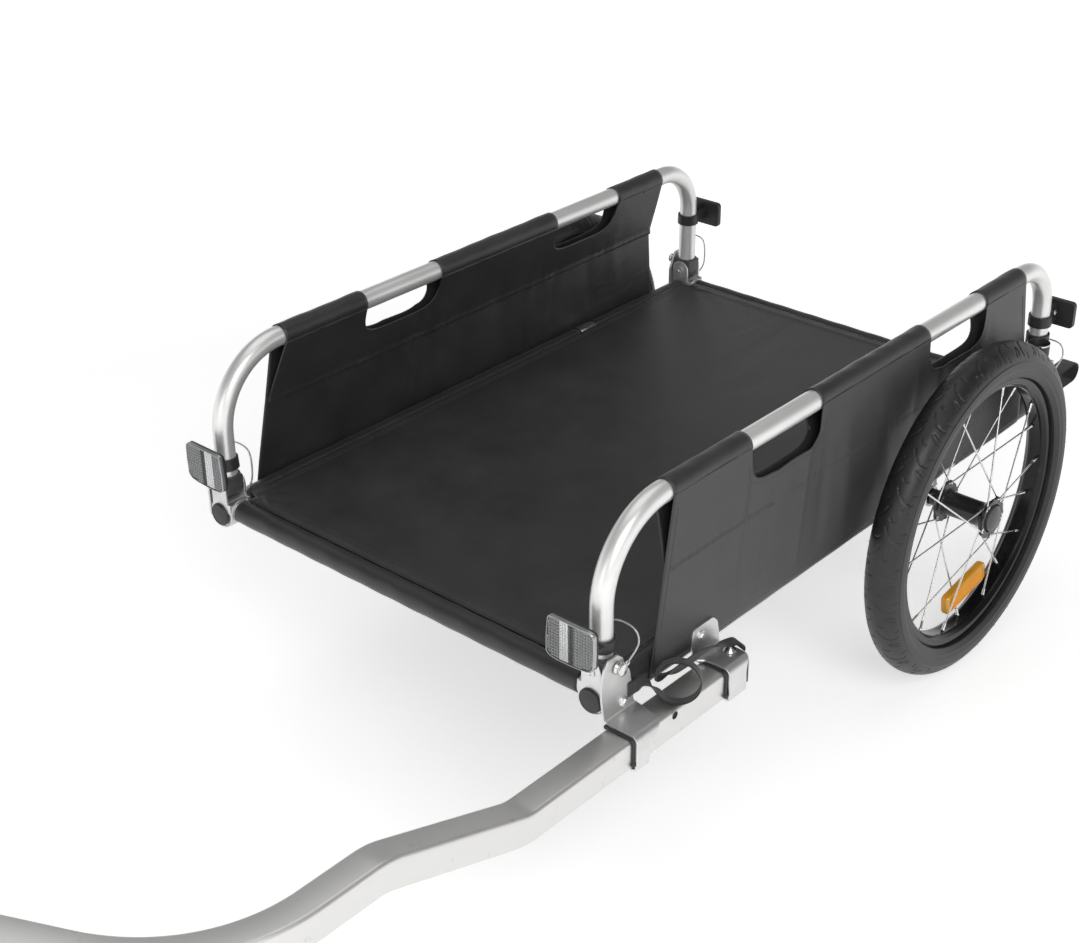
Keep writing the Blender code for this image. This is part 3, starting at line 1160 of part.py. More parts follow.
def hub(side, x, sign, parent):
    """Hub shell with its spokes and nipples."""
    outer = OUTER_FLANGE_OFFSET
    inner = -INNER_FLANGE_OFFSET
    bore = STUB_RADIUS + FIT
    floor = outer - HUB_RECESS_DEPTH
    shoulder = HUB_RECESS_RADIUS + HUB_SHOULDER_WALL
    profile = [(bore, -HUB_INNER_REACH), (HUB_BOSS_RADIUS, -HUB_INNER_REACH), (HUB_BOSS_RADIUS, inner),
               (FLANGE_RADIUS, inner), (FLANGE_RADIUS, inner + FLANGE_THICK),
               (HUB_BARREL_RADIUS, inner + FLANGE_THICK),
               (HUB_BARREL_RADIUS, floor - 2 * FLANGE_THICK), (shoulder, floor - FLANGE_THICK),
               (shoulder, outer - FLANGE_THICK), (FLANGE_RADIUS, outer - FLANGE_THICK), (FLANGE_RADIUS, outer),
               (HUB_RECESS_RADIUS, outer), (HUB_RECESS_RADIUS, floor), (bore, floor)]
    shell = as_mesh(turned(f"hub_{side}", profile, (x, 0, AXLE_Z), (sign, 0, 0), 16))
    bm = bmesh.new()
    end_radius = RIM_INNER_RADIUS * math.cos(math.pi / WHEEL_SIDES) - FIT - 0.36 * NIPPLE_RADIUS
    for k in range(SPOKE_COUNT):
        tip = math.radians(360 * k / SPOKE_COUNT + 3)
        outboard = k % 2 == 0
        leading = k % 4 < 2
        lean = math.radians(SPOKE_LEAN_DEG if leading else 2 - SPOKE_LEAN_DEG)
        height = (outer - FLANGE_THICK / 2) if outboard else (inner + FLANGE_THICK / 2)
        step = 0.0009 if leading else -0.0008
        root = Vector((sign * (height + step), SPOKE_CIRCLE * math.cos(tip + lean),
                       SPOKE_CIRCLE * math.sin(tip + lean)))
        head = Vector((sign * (0.003 if outboard else -0.003), end_radius * math.cos(tip),
                       end_radius * math.sin(tip)))
        add_spoke(bm, root, head)
    spokes = from_bmesh(f"spokes_{side}", bm, (x, 0, AXLE_Z))
    combine(shell, spokes, "UNION", self_crossing=True)
    finish(shell, "black_plastic", parent)


def spoke_reflector(side, x, parent):
    """Amber reflector held between the two sets of spokes."""
    half = SPOKE_REFLECTOR_LENGTH / 2
    tall = SPOKE_REFLECTOR_HEIGHT / 2
    shape = rounded([(-half, -tall), (half, -tall), (half, tall), (-half, tall)], 0.005)
    where = math.radians(SPOKE_REFLECTOR_ANGLE_DEG)
    tilt = math.radians(SPOKE_REFLECTOR_TILT_DEG)
    y = SPOKE_REFLECTOR_RADIUS * math.cos(where)
    z = AXLE_Z + SPOKE_REFLECTOR_RADIUS * math.sin(where)
    turned_shape = [(y + a * math.cos(tilt) - b * math.sin(tilt), z + a * math.sin(tilt) + b * math.cos(tilt))
                    for a, b in shape]
    thick = SPOKE_REFLECTOR_HALF_THICK
    item = plate(f"spoke_reflector_{side}", turned_shape, "X", x - thick, x + thick)
    finish(item, "amber", parent)


def stub_axle(side, x, sign, parent):
    """Quick-release axle with a blind hole for the button's stem."""
    out = OUTER_FLANGE_OFFSET - HUB_RECESS_DEPTH
    start = AXLE_TUBE_HALF - STUB_ENGAGEMENT - TRACK_HALF + 0.003
    depth = BUTTON_STEM_LENGTH + BUTTON_TRAVEL + 0.001
    way = BUTTON_STEM_RADIUS + FIT
    profile = [(0, start), (STUB_RADIUS - 0.001, start), (STUB_RADIUS, start + 0.002), (STUB_RADIUS, out),
               (way, out),
               (way, out - depth), (0, out - depth)]
    item = turned(f"stub_axle_{side}", profile, (x, 0, AXLE_Z), (sign, 0, 0), 14)
    finish(item, "steel", parent)


def button(side, x, sign, parent):
    """Domed cap that is pushed in to release the wheel."""
    out = OUTER_FLANGE_OFFSET - HUB_RECESS_DEPTH + BUTTON_TRAVEL + 2 * FIT
    stem = OUTER_FLANGE_OFFSET - HUB_RECESS_DEPTH - BUTTON_STEM_LENGTH
    profile = [(0, stem), (BUTTON_STEM_RADIUS, stem), (BUTTON_STEM_RADIUS, out), (CAP_RADIUS, out)]
    for k in range(4):
        angle = math.radians(90 * k / 3)
        profile.append((CAP_RADIUS * math.cos(angle) if k < 3 else 0,
                        out + 0.0025 + (CAP_DEPTH - 0.0025) * math.sin(angle)))
    item = turned(f"wheel_button_{side}", profile, (x, 0, AXLE_Z), (sign, 0, 0), 16)
    finish(item, "cap_grey", parent)


def wheel(side):
    sign = SIDES[side]
    x = sign * TRACK_HALF
    axle = empty(f"axle_pivot_{side}", (x, 0, AXLE_Z), ORIGIN)
    spin = empty(f"wheel_pivot_{side}", (x, 0, AXLE_Z), axle)
    push = empty(f"button_pivot_{side}", (x, 0, AXLE_Z), axle)
    tyre(side, x, spin)
    rim(side, x, spin)
    hub(side, x, sign, spin)
    spoke_reflector(side, x, spin)
    stub_axle(side, x, sign, axle)
    button(side, x, sign, push)


def side_assembly(side):
    fold = empty(f"fold_pivot_{side}", (SIDES[side] * TUBE_AXIS_X, 0, PIVOT_Z), ORIGIN)
    hoop(side, fold)
    side_panel(side, fold)
    front_reflector(side, fold)
    rear_reflector(side, fold)
    for end in ENDS:
        knuckle(end, side, fold)
        corner_fitting(end, side)
        place = (SIDES[side] * (TUBE_AXIS_X + KNUCKLE_RADIUS), LEG_Y[end], PIVOT_Z + PIN_RISE)
        lock_pin(end, side, empty(f"pin_slide_{end}_{side}", place, ORIGIN))
    if side == "left":
        flag_socket(fold)


def towing_gear():
    receiver_front()
    receiver_rear()
    bar_strap()
    swing = empty("bar_pivot", (BAR_AXIS_X, -BAR_PIVOT, BAR_Z), ORIGIN)
    tow_bar(swing)
    nose = (BAR_AXIS_X - BAR_INWARD, HITCH_Y, BAR_Z + BAR_RISE + BAR_CLIMB)
    yaw = empty("tongue_pivot", nose, swing)
    pull = empty("hitch_pin_slide", nose, yaw)
    hitch(swing, yaw, pull)


def build():
    lower_tubes()
    cross_tubes()
    axle_tube()
    bed()
    for side in SIDES:
        side_assembly(side)
        wheel(side)
    webbing_loop()
    towing_gear()


build()
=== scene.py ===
"""Finished look of the flatbed bike trailer: satin hoops, coated cloth bed, square bar and spoked wheels.

Lengths are in metres. Places are given from the wheel axle's line (y) and the ground (z), and `piece` shifts
them by AXLE_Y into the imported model's frame.
"""
import json
import math

import bmesh
import bpy
import numpy as np
from mathutils import Matrix, Vector


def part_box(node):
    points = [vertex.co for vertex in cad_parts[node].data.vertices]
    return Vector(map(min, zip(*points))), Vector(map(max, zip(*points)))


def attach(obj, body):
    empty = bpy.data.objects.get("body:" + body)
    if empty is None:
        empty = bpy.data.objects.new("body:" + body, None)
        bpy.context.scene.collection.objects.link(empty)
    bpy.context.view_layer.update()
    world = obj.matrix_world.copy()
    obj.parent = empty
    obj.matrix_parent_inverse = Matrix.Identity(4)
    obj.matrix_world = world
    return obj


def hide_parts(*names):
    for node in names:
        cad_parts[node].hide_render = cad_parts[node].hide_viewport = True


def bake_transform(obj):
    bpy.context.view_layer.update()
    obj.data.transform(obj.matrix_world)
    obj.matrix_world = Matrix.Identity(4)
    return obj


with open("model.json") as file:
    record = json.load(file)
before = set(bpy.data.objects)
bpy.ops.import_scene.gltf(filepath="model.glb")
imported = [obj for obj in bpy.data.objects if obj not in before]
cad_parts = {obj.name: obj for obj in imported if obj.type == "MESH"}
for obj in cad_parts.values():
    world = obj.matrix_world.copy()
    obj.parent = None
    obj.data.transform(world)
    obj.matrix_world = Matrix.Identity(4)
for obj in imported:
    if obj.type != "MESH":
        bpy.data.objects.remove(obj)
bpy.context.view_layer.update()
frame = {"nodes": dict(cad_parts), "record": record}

TAU = 2 * math.pi
RNG = np.random.default_rng(7)


def middle(node):
    """Centre of a node's box."""
    low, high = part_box(node)
    return [(a + b) / 2 for a, b in zip(low, high)]


AXLE_Y = middle("tyre_left")[1]
AXLE_Z = middle("tyre_left")[2]
TRACK = middle("rim_left")[0]
TUBE_X = middle("hoop_left")[0]
LOWER_Z = middle("lower_tube_left")[2]
PIVOT_Z = LOWER_Z + 0.031
RAIL_Z = LOWER_Z + 0.178
CROSS_Z = middle("cross_tube_front")[2]
LEGS = {"front": middle("cross_tube_front")[1] - AXLE_Y, "rear": middle("cross_tube_rear")[1] - AXLE_Y}
SIDES = {"left": 1, "right": -1}
FIT = 0.0003


# Surfaces

def unit(v):
    """Vectors of length one, row by row."""
    v = np.asarray(v, float)
    return v / np.linalg.norm(v, axis=-1, keepdims=True)


def run_length(path):
    """Length along a path at each of its points."""
    return np.concatenate([[0], np.cumsum(np.linalg.norm(np.diff(path, axis=0), axis=1))])


def circle(radius, centre=(0, 0), count=28, phase=0.0):
    """Points of a circle, counter-clockwise."""
    t = phase + np.arange(count) * TAU / count
    return np.stack([centre[0] + radius * np.cos(t), centre[1] + radius * np.sin(t)], 1)


def patch(verts, polys, flat):
    """A shape of free polygons whose UV is the flat points."""
    return {"verts": verts, "quads": np.zeros((0, 4), int), "uv": np.zeros((0, 4, 2)), "polys": polys,
            "flat": flat}


def surface(points, wrap=(False, False), caps=False):
    """Grid points[i, j] joined by quads. Its UV is the length each way in metres, and caps close the ends."""
    nu, nv = points.shape[:2]
    steps = [np.arange(n if closed else n - 1) for n, closed in zip((nu, nv), wrap)]
    i, j = np.meshgrid(*steps, indexing="ij")
    ni, nj = (i + 1) % nu, (j + 1) % nv
    quads = np.stack([i * nv + j, ni * nv + j, ni * nv + nj, i * nv + nj], -1).reshape(-1, 4)
    ring_u = np.concatenate([points, points[:1]]) if wrap[0] else points
    ring_v = np.concatenate([points, points[:, :1]], 1) if wrap[1] else points
    u = np.concatenate([[0], np.cumsum(np.linalg.norm(np.diff(ring_u, axis=0), axis=2).mean(1))])
    v = np.concatenate([[0], np.cumsum(np.linalg.norm(np.diff(ring_v, axis=1), axis=2).mean(0))])
    corners = ((i, j), (i + 1, j), (i + 1, j + 1), (i, j + 1))
    uv = np.stack([np.stack([u[a], v[b]], -1) for a, b in corners], 2)
    shape = {"verts": points.reshape(-1, 3), "quads": quads, "uv": uv.reshape(-1, 4, 2), "polys": []}
    if caps:
        first, reach = (np.arange(nv), (nu - 1) * nv) if wrap[1] else (np.arange(nu) * nv, nv - 1)
        shape["polys"] = [list(first), list((first + reach)[::-1])]
    return shape


def turn(profile, centre, axis, steps=64):
    """Profile (radius, height) pairs swept once round an axis: p = c + h a + r (cos t e + sin t f)."""
    axis = np.asarray(axis, float)
    e = unit(np.cross(axis, (0.0, 0.3, 1.0)))
    f = np.cross(axis, e)
    profile = np.asarray(profile, float)
    t = np.arange(steps) * TAU / steps
    out = np.cos(t)[:, None] * e + np.sin(t)[:, None] * f
    points = (np.asarray(centre, float) + profile[None, :, 1, None] * axis
              + profile[None, :, 0, None] * out[:, None])
    closed = profile[0, 0] > 1e-6 and profile[-1, 0] > 1e-6
    return surface(points, (True, closed))


def soften(profile, radius, count=4, closed=True):
    """Corners of a flat outline replaced by arcs of at most the given radius, with count points each."""
    pts = np.asarray(profile, float)
    out = []
    n = len(pts)
    for k in range(n):
        if not closed and k in (0, n - 1):
            out.append(pts[k])
            continue
        r = radius[k] if np.ndim(radius) else radius
        into, away = pts[k] - pts[k - 1], pts[(k + 1) % n] - pts[k]
        li, la = np.linalg.norm(into), np.linalg.norm(away)
        into, away = unit(into), unit(away)
        angle = math.acos(max(-1.0, min(1.0, float(into @ away))))
        if r <= 0 or angle < 0.02:
            out.append(pts[k])
            continue
        reach = min(r * math.tan(angle / 2), 0.49 * li, 0.49 * la)
        r = reach / math.tan(angle / 2)
        start = pts[k] - into * reach
        centre = start + unit(away - into * (into @ away)) * r
        t = np.linspace(0, angle, count)[:, None]
        out.extend(centre + (start - centre) * np.cos(t) + into * r * np.sin(t))
    return np.array(out)


def route(corners, radii, step=math.radians(4)):
    """Straight runs whose corners are arcs: p = c + r (cos t e + sin t f) in the plane of each corner."""
    corners = np.asarray(corners, float)
    out = [corners[0]]
    for a, b, c, r in zip(corners, corners[1:], corners[2:], radii):
        into, away = unit(b - a), unit(c - b)
        angle = math.acos(max(-1.0, min(1.0, float(into @ away))))
        reach = r * math.tan(angle / 2)
        side = unit(away - into * (into @ away))
        start = b - into * reach
        t = np.linspace(0, angle, max(3, int(angle / step)))[:, None]
        out.extend(start + side * r * (1 - np.cos(t)) + into * r * np.sin(t))
    out.append(corners[-1])
    return np.array(out)


def even(path, gap):
    """A path read again at even steps of about the given gap."""
    path = np.asarray(path, float)
    s = run_length(path)
    at = np.linspace(0, s[-1], max(2, int(s[-1] / gap)))
    return np.stack([np.interp(at, s, path[:, k]) for k in range(3)], 1)


def smooth_run(stations, count=8):
    """Catmull-Rom curve through the stations."""
    p = np.asarray(stations, float)
    p = np.vstack([2 * p[0] - p[1], p, 2 * p[-1] - p[-2]])
    t = np.linspace(0, 1, count, endpoint=False)[:, None]
    runs = [0.5 * (2 * b + (c - a) * t + (2 * a - 5 * b + 4 * c - d) * t ** 2
                   + (3 * b - a - 3 * c + d) * t ** 3) for a, b, c, d in zip(p, p[1:], p[2:], p[3:])]
    return np.vstack(runs + [p[-2:-1]])


def sweep(path, section, up=(0, 0, 1), scale=None, closed=False):
    """Section (a, b) carried along a path: p = c(s) + a side(s) + b over(s), with over kept nearest to up."""
    path = np.asarray(path, float)
    section = np.asarray(section, float)
    if closed:
        along = np.roll(path, -1, 0) - np.roll(path, 1, 0)
    else:
        along = np.gradient(path, axis=0)
    along = unit(along)
    side = unit(np.cross(along, np.asarray(up, float)))
    over = np.cross(side, along)
    size = np.ones(len(path)) if scale is None else np.asarray(scale)
    points = (path[:, None] + size[:, None, None] * (section[None, :, 0, None] * side[:, None]
                                                     + section[None, :, 1, None] * over[:, None]))
    return surface(points, (closed, True), caps=not closed)


def disc(radius, count=32):
    """A round section."""
    return circle(radius, count=count)


def bar_section(width, height, corner, count=5):
    """A rectangle with round corners."""
    w, h = width / 2, height / 2
    return soften([(-w, -h), (w, -h), (w, h), (-w, h)], corner, count)


def slab(outline, axis, low, high, edge=0.0006, holes=()):
    """Flat outline with holes, given thickness along an axis, its edges rounded by `edge`."""
    data = bpy.data.curves.new("slab", "CURVE")
    data.dimensions = "2D"
    data.fill_mode = "BOTH"
    thick = abs(high - low) / 2
    data.extrude = thick - edge
    data.bevel_depth = edge
    data.bevel_resolution = 2
    data.offset = -edge
    for loop in (outline, *holes):
        spline = data.splines.new("POLY")
        spline.points.add(len(loop) - 1)
        for point, pair in zip(spline.points, loop):
            point.co = (pair[0], pair[1], 0, 1)
        spline.use_cyclic_u = True
    item = bpy.data.objects.new("slab", data)
    bpy.context.scene.collection.objects.link(item)
    bpy.context.view_layer.update()
    mesh = bpy.data.meshes.new_from_object(item.evaluated_get(bpy.context.evaluated_depsgraph_get()))
    verts = np.empty(len(mesh.vertices) * 3)
    mesh.vertices.foreach_get("co", verts)
    verts = verts.reshape(-1, 3)
    polys = [list(p.vertices) for p in mesh.polygons]
    bpy.data.objects.remove(item)
    bpy.data.meshes.remove(mesh)
    bpy.data.curves.remove(data)
    a, b, c = verts.T
    mid = (low + high) / 2
    order = {"X": (c + mid, a, b), "Y": (a, c + mid, b), "Z": (a, b, c + mid)}[axis]
    return patch(np.stack(order, 1), polys, np.stack([a, b], 1))


def piece(name, shapes, materials, body, instead_of=(), sharp=38, weld=0.00002):
    """One mesh object from shapes; a shape may come as (shape, material index)."""
    materials = materials if isinstance(materials, (list, tuple)) else [materials]
    shapes = shapes if isinstance(shapes, list) else [shapes]
    shapes = [s if isinstance(s, tuple) else (s, 0) for s in shapes]
    verts, loops, starts, uvs, index = [], [], [], [], []
    base = at = 0
    for shape, which in shapes:
        n = len(shape["verts"])
        verts.append(shape["verts"])
        quads = shape["quads"]
        loops.append((quads + base).ravel())
        starts.append(at + 4 * np.arange(len(quads)))
        at += 4 * len(quads)
        uvs.append(shape["uv"].reshape(-1, 2))
        index.append(np.full(len(quads), which))
        for poly in shape["polys"]:
            loops.append(np.array(poly) + base)
            starts.append(np.array([at]))
            at += len(poly)
            uvs.append(shape["flat"][poly] if "flat" in shape else shape["verts"][poly][:, :2])
            index.append(np.array([which]))
        base += n
    verts = np.concatenate(verts) + (0, AXLE_Y, 0)
    loops = np.concatenate(loops).astype(np.int32)
    starts = np.concatenate(starts).astype(np.int32)
    mesh = bpy.data.meshes.new(name)
    mesh.vertices.add(len(verts))
    mesh.vertices.foreach_set("co", verts.ravel())
    mesh.loops.add(len(loops))
    mesh.loops.foreach_set("vertex_index", loops)
    mesh.polygons.add(len(starts))
    mesh.polygons.foreach_set("loop_start", starts)
    mesh.polygons.foreach_set("material_index", np.concatenate(index).astype(np.int32))
    mesh.uv_layers.new(name="length").data.foreach_set("uv", np.concatenate(uvs).astype(np.float32).ravel())
    mesh.update(calc_edges=True)
    bm = bmesh.new()
    bm.from_mesh(mesh)
    bmesh.ops.remove_doubles(bm, verts=bm.verts, dist=weld)
    bmesh.ops.recalc_face_normals(bm, faces=bm.faces)
    bm.to_mesh(mesh)
    bm.free()
    mesh.shade_smooth()
    mesh.set_sharp_from_angle(angle=math.radians(sharp))
    for finish in materials:
        mesh.materials.append(finish)
    item = bpy.data.objects.new(name, mesh)
    bpy.context.scene.collection.objects.link(item)
    if body:
        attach(item, body)
    if instead_of:
        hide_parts(*([instead_of] if isinstance(instead_of, str) else instead_of))
    return item


# Materials

class Finish:
    """A Principled material and its helper nodes; sockets are addressed by name."""

    def __init__(self, name, colour, rough, metal=0.0, **plain):
        self.material = bpy.data.materials.new(name)
        self.material.use_nodes = True
        self.tree = self.material.node_tree
        self.shader = self.tree.nodes["Principled BSDF"]
        self.shader.inputs["Base Color"].default_value = (*colour, 1)
        self.shader.inputs["Roughness"].default_value = rough
        self.shader.inputs["Metallic"].default_value = metal
        for key, value in plain.items():
            self.shader.inputs[key.replace("_", " ")].default_value = value
        self.coords = self.tree.nodes.new("ShaderNodeTexCoord")
        self.normal = None

    def node(self, kind, **settings):
        """A new node with its settings."""
        made = self.tree.nodes.new(kind)
        for key, value in settings.items():
            setattr(made, key, value)
        return made

    def link(self, out, into):
        """Join an output to an input."""
        self.tree.links.new(out, into)

    def place(self, scale=(1, 1, 1), uv=False, turn=(0, 0, 0)):
        """Coordinates of the object or of its lengthwise UV, scaled."""
        mapping = self.node("ShaderNodeMapping")
        mapping.inputs["Scale"].default_value = scale
        mapping.inputs["Rotation"].default_value = turn
        self.link(self.coords.outputs["UV" if uv else "Object"], mapping.inputs["Vector"])
        return mapping.outputs[0]

    def noise(self, scale, detail=4.0, rough=0.55, where=None, distortion=0.0):
        """Fractal noise, on the object's coordinates unless others are given."""
        made = self.node("ShaderNodeTexNoise")
        made.inputs["Scale"].default_value = scale
        made.inputs["Detail"].default_value = detail
        made.inputs["Roughness"].default_value = rough
        made.inputs["Distortion"].default_value = distortion
        self.link(where or self.coords.outputs["Object"], made.inputs["Vector"])
        return made.outputs["Fac"]

    def wave(self, scale, where, kind="X"):
        """Sine bands across one direction."""
        made = self.node("ShaderNodeTexWave", wave_type="BANDS", bands_direction=kind, wave_profile="SIN")
        made.inputs["Scale"].default_value = scale
        self.link(where, made.inputs["Vector"])
        return made.outputs["Fac"]

    def maths(self, operation, a, b=0.5):
        """One operation on two values or outputs."""
        made = self.node("ShaderNodeMath", operation=operation)
        for socket, value in zip(made.inputs, (a, b)):
            if isinstance(value, (int, float)):
                socket.default_value = value
            else:
                self.link(value, socket)
        return made.outputs[0]

    def ramp(self, value, stops):
        """A value turned into the colours or greys of its stops."""
        made = self.node("ShaderNodeValToRGB")
        ramp = made.color_ramp
        while len(ramp.elements) < len(stops):
            ramp.elements.new(0.5)
        for element, (where, colour) in zip(ramp.elements, stops):
            element.position = where
            element.color = (*colour, 1) if np.ndim(colour) else (colour, colour, colour, 1)
        self.link(value, made.inputs["Fac"])
        return made.outputs["Color"]

    def blend(self, fac, a, b):
        """Mix of two colours by a factor."""
        made = self.node("ShaderNodeMix", data_type="RGBA")
        for socket, value in ((made.inputs[0], fac), (made.inputs[6], a), (made.inputs[7], b)):
            if isinstance(value, (int, float)):
                socket.default_value = value
            elif isinstance(value, tuple):
                socket.default_value = (*value, 1)
            else:
                self.link(value, socket)
        return made.outputs[2]

    def colour(self, value):
        """Use an output as the base colour."""
        self.link(value, self.shader.inputs["Base Color"])

    def rough(self, value, low, high):
        """Use a value from 0 to 1 as roughness between low and high."""
        made = self.node("ShaderNodeMapRange")
        made.inputs["To Min"].default_value = low
        made.inputs["To Max"].default_value = high
        self.link(value, made.inputs["Value"])
        self.link(made.outputs[0], self.shader.inputs["Roughness"])

    def bump(self, height, depth, strength=1.0):
        """Add relief of a depth in metres on top of any relief before."""
        made = self.node("ShaderNodeBump")
        made.inputs["Distance"].default_value = depth
        made.inputs["Strength"].default_value = strength
        self.link(height, made.inputs["Height"])
        if self.normal is not None:
            self.link(self.normal, made.inputs["Normal"])
        self.normal = made.outputs["Normal"]
        self.link(self.normal, self.shader.inputs["Normal"])


def satin_hoop():
    """Silver powder-like anodising of the hoops, with a fine drawn grain and a few rubbed places."""
    f = Finish("satin silver anodising", (0.86, 0.86, 0.85), 0.34, 0.6)
    grain = f.noise(900, 2, 0.5, f.place((1, 0.02, 1)))
    rub = f.noise(9, 6, 0.6)
    f.colour(f.blend(f.ramp(rub, [(0.42, 0.0), (0.75, 1.0)]), (0.88, 0.88, 0.87), (0.76, 0.76, 0.75)))
    f.rough(f.maths("ADD", f.maths("MULTIPLY", grain, 0.5), f.maths("MULTIPLY", rub, 0.5)), 0.27, 0.44)
    f.bump(grain, 0.00002, 0.5)
    return f.material


def bar_finish():
    """Clear-anodised square bar: matt, with lengthwise die lines and small knocks."""
    f = Finish("matt anodised bar", (0.62, 0.62, 0.615), 0.42, 0.9)
    die = f.noise(700, 3, 0.6, f.place((1, 0.03, 1), uv=True, turn=(0, 0, math.pi / 2)))
    knocks = f.noise(60, 8, 0.7)
    mark = f.ramp(knocks, [(0.62, 0.0), (0.72, 1.0)])
    f.colour(f.blend(mark, (0.73, 0.725, 0.71), (0.55, 0.545, 0.535)))
    f.rough(f.maths("ADD", f.maths("MULTIPLY", die, 0.4), f.maths("MULTIPLY", knocks, 0.6)), 0.32, 0.52)
    f.bump(f.maths("ADD", die, f.maths("MULTIPLY", mark, -0.6)), 0.00003, 0.6)
    return f.material


def stained(name, start, gloss, metal, stain, spread, colours, shine, grain, depth, strength=0.5, **plain):
    """Metal that is duller in patches: the noise `stain` within the limits `spread`, over a fine grain."""
    f = Finish(name, start, gloss, metal, **plain)
    patches = f.noise(*stain)
    f.colour(f.blend(f.ramp(patches, [(spread[0], 0.0), (spread[1], 1.0)]), *colours))
    f.rough(patches, *shine)
    f.bump(f.noise(*grain), depth, strength)
    return f.material


def bright_steel():
    """Turned zinc-plated steel."""
    return stained("bright steel", (0.72, 0.72, 0.71), 0.22, 1.0, (70, 6, 0.7), (0.45, 0.8),
                   ((0.75, 0.75, 0.74), (0.52, 0.50, 0.47)), (0.14, 0.36), (900, 2), 0.00001)


def moulded(name="moulded black plastic", shade=0.018, low=0.38, high=0.55):
    """Glass-filled moulded plastic: fine even grain and dull patches."""
    f = Finish(name, (shade, shade, shade * 1.03), 0.45)
    fine, broad = f.noise(2400, 2, 0.5), f.noise(40, 5, 0.6)
    f.colour(f.blend(broad, (shade, shade, shade * 1.03), (shade * 1.9, shade * 1.9, shade * 1.95)))
    f.rough(broad, low, high)
    f.bump(fine, 0.00004, 0.6)
    return f.material


def coated_cloth(name="coated polyester", low=(0.013, 0.013, 0.0134), high=(0.034, 0.034, 0.0345), gloss=0.36,
                 weave=0.00065):
    """Dark coated polyester: plain weave at its real pitch under satin coating, with dust and creases."""
    f = Finish(name, low, gloss, 0.0, Sheen_Weight=0.06, Sheen_Roughness=0.4, Specular_IOR_Level=0.55)
    spot = f.place((1, 1, 1), uv=True)
    warp = f.wave(1 / weave / TAU * 3.14, spot, "X")
    weft = f.wave(1 / weave / TAU * 3.14, spot, "Y")
    threads = f.maths("MAXIMUM", warp, weft)
    dust, creases = f.noise(14, 7, 0.62), f.noise(7, 3, 0.5, f.place((1, 0.45, 1.3)), 1.6)
    tint = f.ramp(dust, [(0.30, low), (0.78, high)])
    f.colour(f.blend(f.maths("MULTIPLY", threads, 0.22), tint, tuple(1.9 * c for c in high)))
    f.rough(dust, gloss - 0.06, gloss + 0.12)
    f.bump(creases, 0.0035, 0.45)
    f.bump(threads, 0.00006, 0.6)
    return f.material


def webbing_cloth():
    """Woven black webbing: slanted picks across and a finer run along."""
    f = Finish("black webbing", (0.015, 0.015, 0.016), 0.7, 0.0, Sheen_Weight=0.25, Sheen_Roughness=0.5)
    spot = f.place((1, 1, 1), uv=True)
    picks = f.wave(330, spot, "DIAGONAL")
    runs = f.wave(420, spot, "Y")
    both = f.maths("MULTIPLY", picks, runs)
    f.colour(f.blend(both, (0.006, 0.006, 0.0065), (0.028, 0.028, 0.029)))
    f.rough(both, 0.6, 0.82)
    f.bump(both, 0.00016, 0.9)
    return f.material


def tyre_rubber():
    """Dark grey tread rubber with patches of dust."""
    f = Finish("tyre rubber", (0.02, 0.02, 0.0205), 0.42, 0.0, Specular_IOR_Level=0.5)
    fine, dust = f.noise(1500, 3, 0.6), f.noise(35, 7, 0.7)
    f.colour(f.ramp(dust, [(0.28, (0.010, 0.010, 0.0104)), (0.75, (0.028, 0.0278, 0.027))]))
    f.rough(dust, 0.34, 0.52)
    f.bump(fine, 0.00005, 0.7)
    return f.material


def clear_plastic(name, colour, rough=0.12, clear=0.9, metal=0.0, celled=True):
    """Prismatic reflector plastic: clear face over small square cells."""
    f = Finish(name, colour, rough, metal, Transmission_Weight=clear, IOR=1.49, Coat_Weight=0.4)
    if not celled:
        f.colour(f.blend(f.noise(50, 4), colour, tuple(0.85 * c for c in colour)))
        return f.material
    cells = f.node("ShaderNodeTexVoronoi", feature="DISTANCE_TO_EDGE")
    cells.inputs["Scale"].default_value = 420
    cells.inputs["Randomness"].default_value = 0.12
    f.link(f.coords.outputs["Object"], cells.inputs["Vector"])
    edge = f.ramp(cells.outputs["Distance"], [(0.0, 0.0), (0.35, 1.0)])
    f.bump(edge, 0.0009, 0.9)
    f.colour(f.blend(edge, tuple(0.75 * c for c in colour), colour))
    return f.material


def thread_black():
    """Stitching thread: two-ply twist."""
    f = Finish("stitching thread", (0.030, 0.030, 0.031), 0.6, 0.0, Sheen_Weight=0.3)
    twist = f.wave(900, f.place((1, 1, 1), uv=True), "DIAGONAL")
    f.colour(f.blend(twist, (0.018, 0.018, 0.018), (0.07, 0.07, 0.07)))
    f.bump(twist, 0.0001, 0.8)
    return f.material


def coated_cable():
    """Stranded steel cable under clear coating."""
    f = Finish("clear-coated steel cable", (0.55, 0.55, 0.54), 0.3, 0.8, Coat_Weight=0.8, Coat_Roughness=0.08)
    strands = f.wave(1100, f.place((1, 1, 1), uv=True), "DIAGONAL")
    f.colour(f.blend(strands, (0.30, 0.30, 0.30), (0.70, 0.70, 0.69)))
    f.rough(strands, 0.2, 0.42)
    f.bump(strands, 0.00008, 0.8)
    return f.material


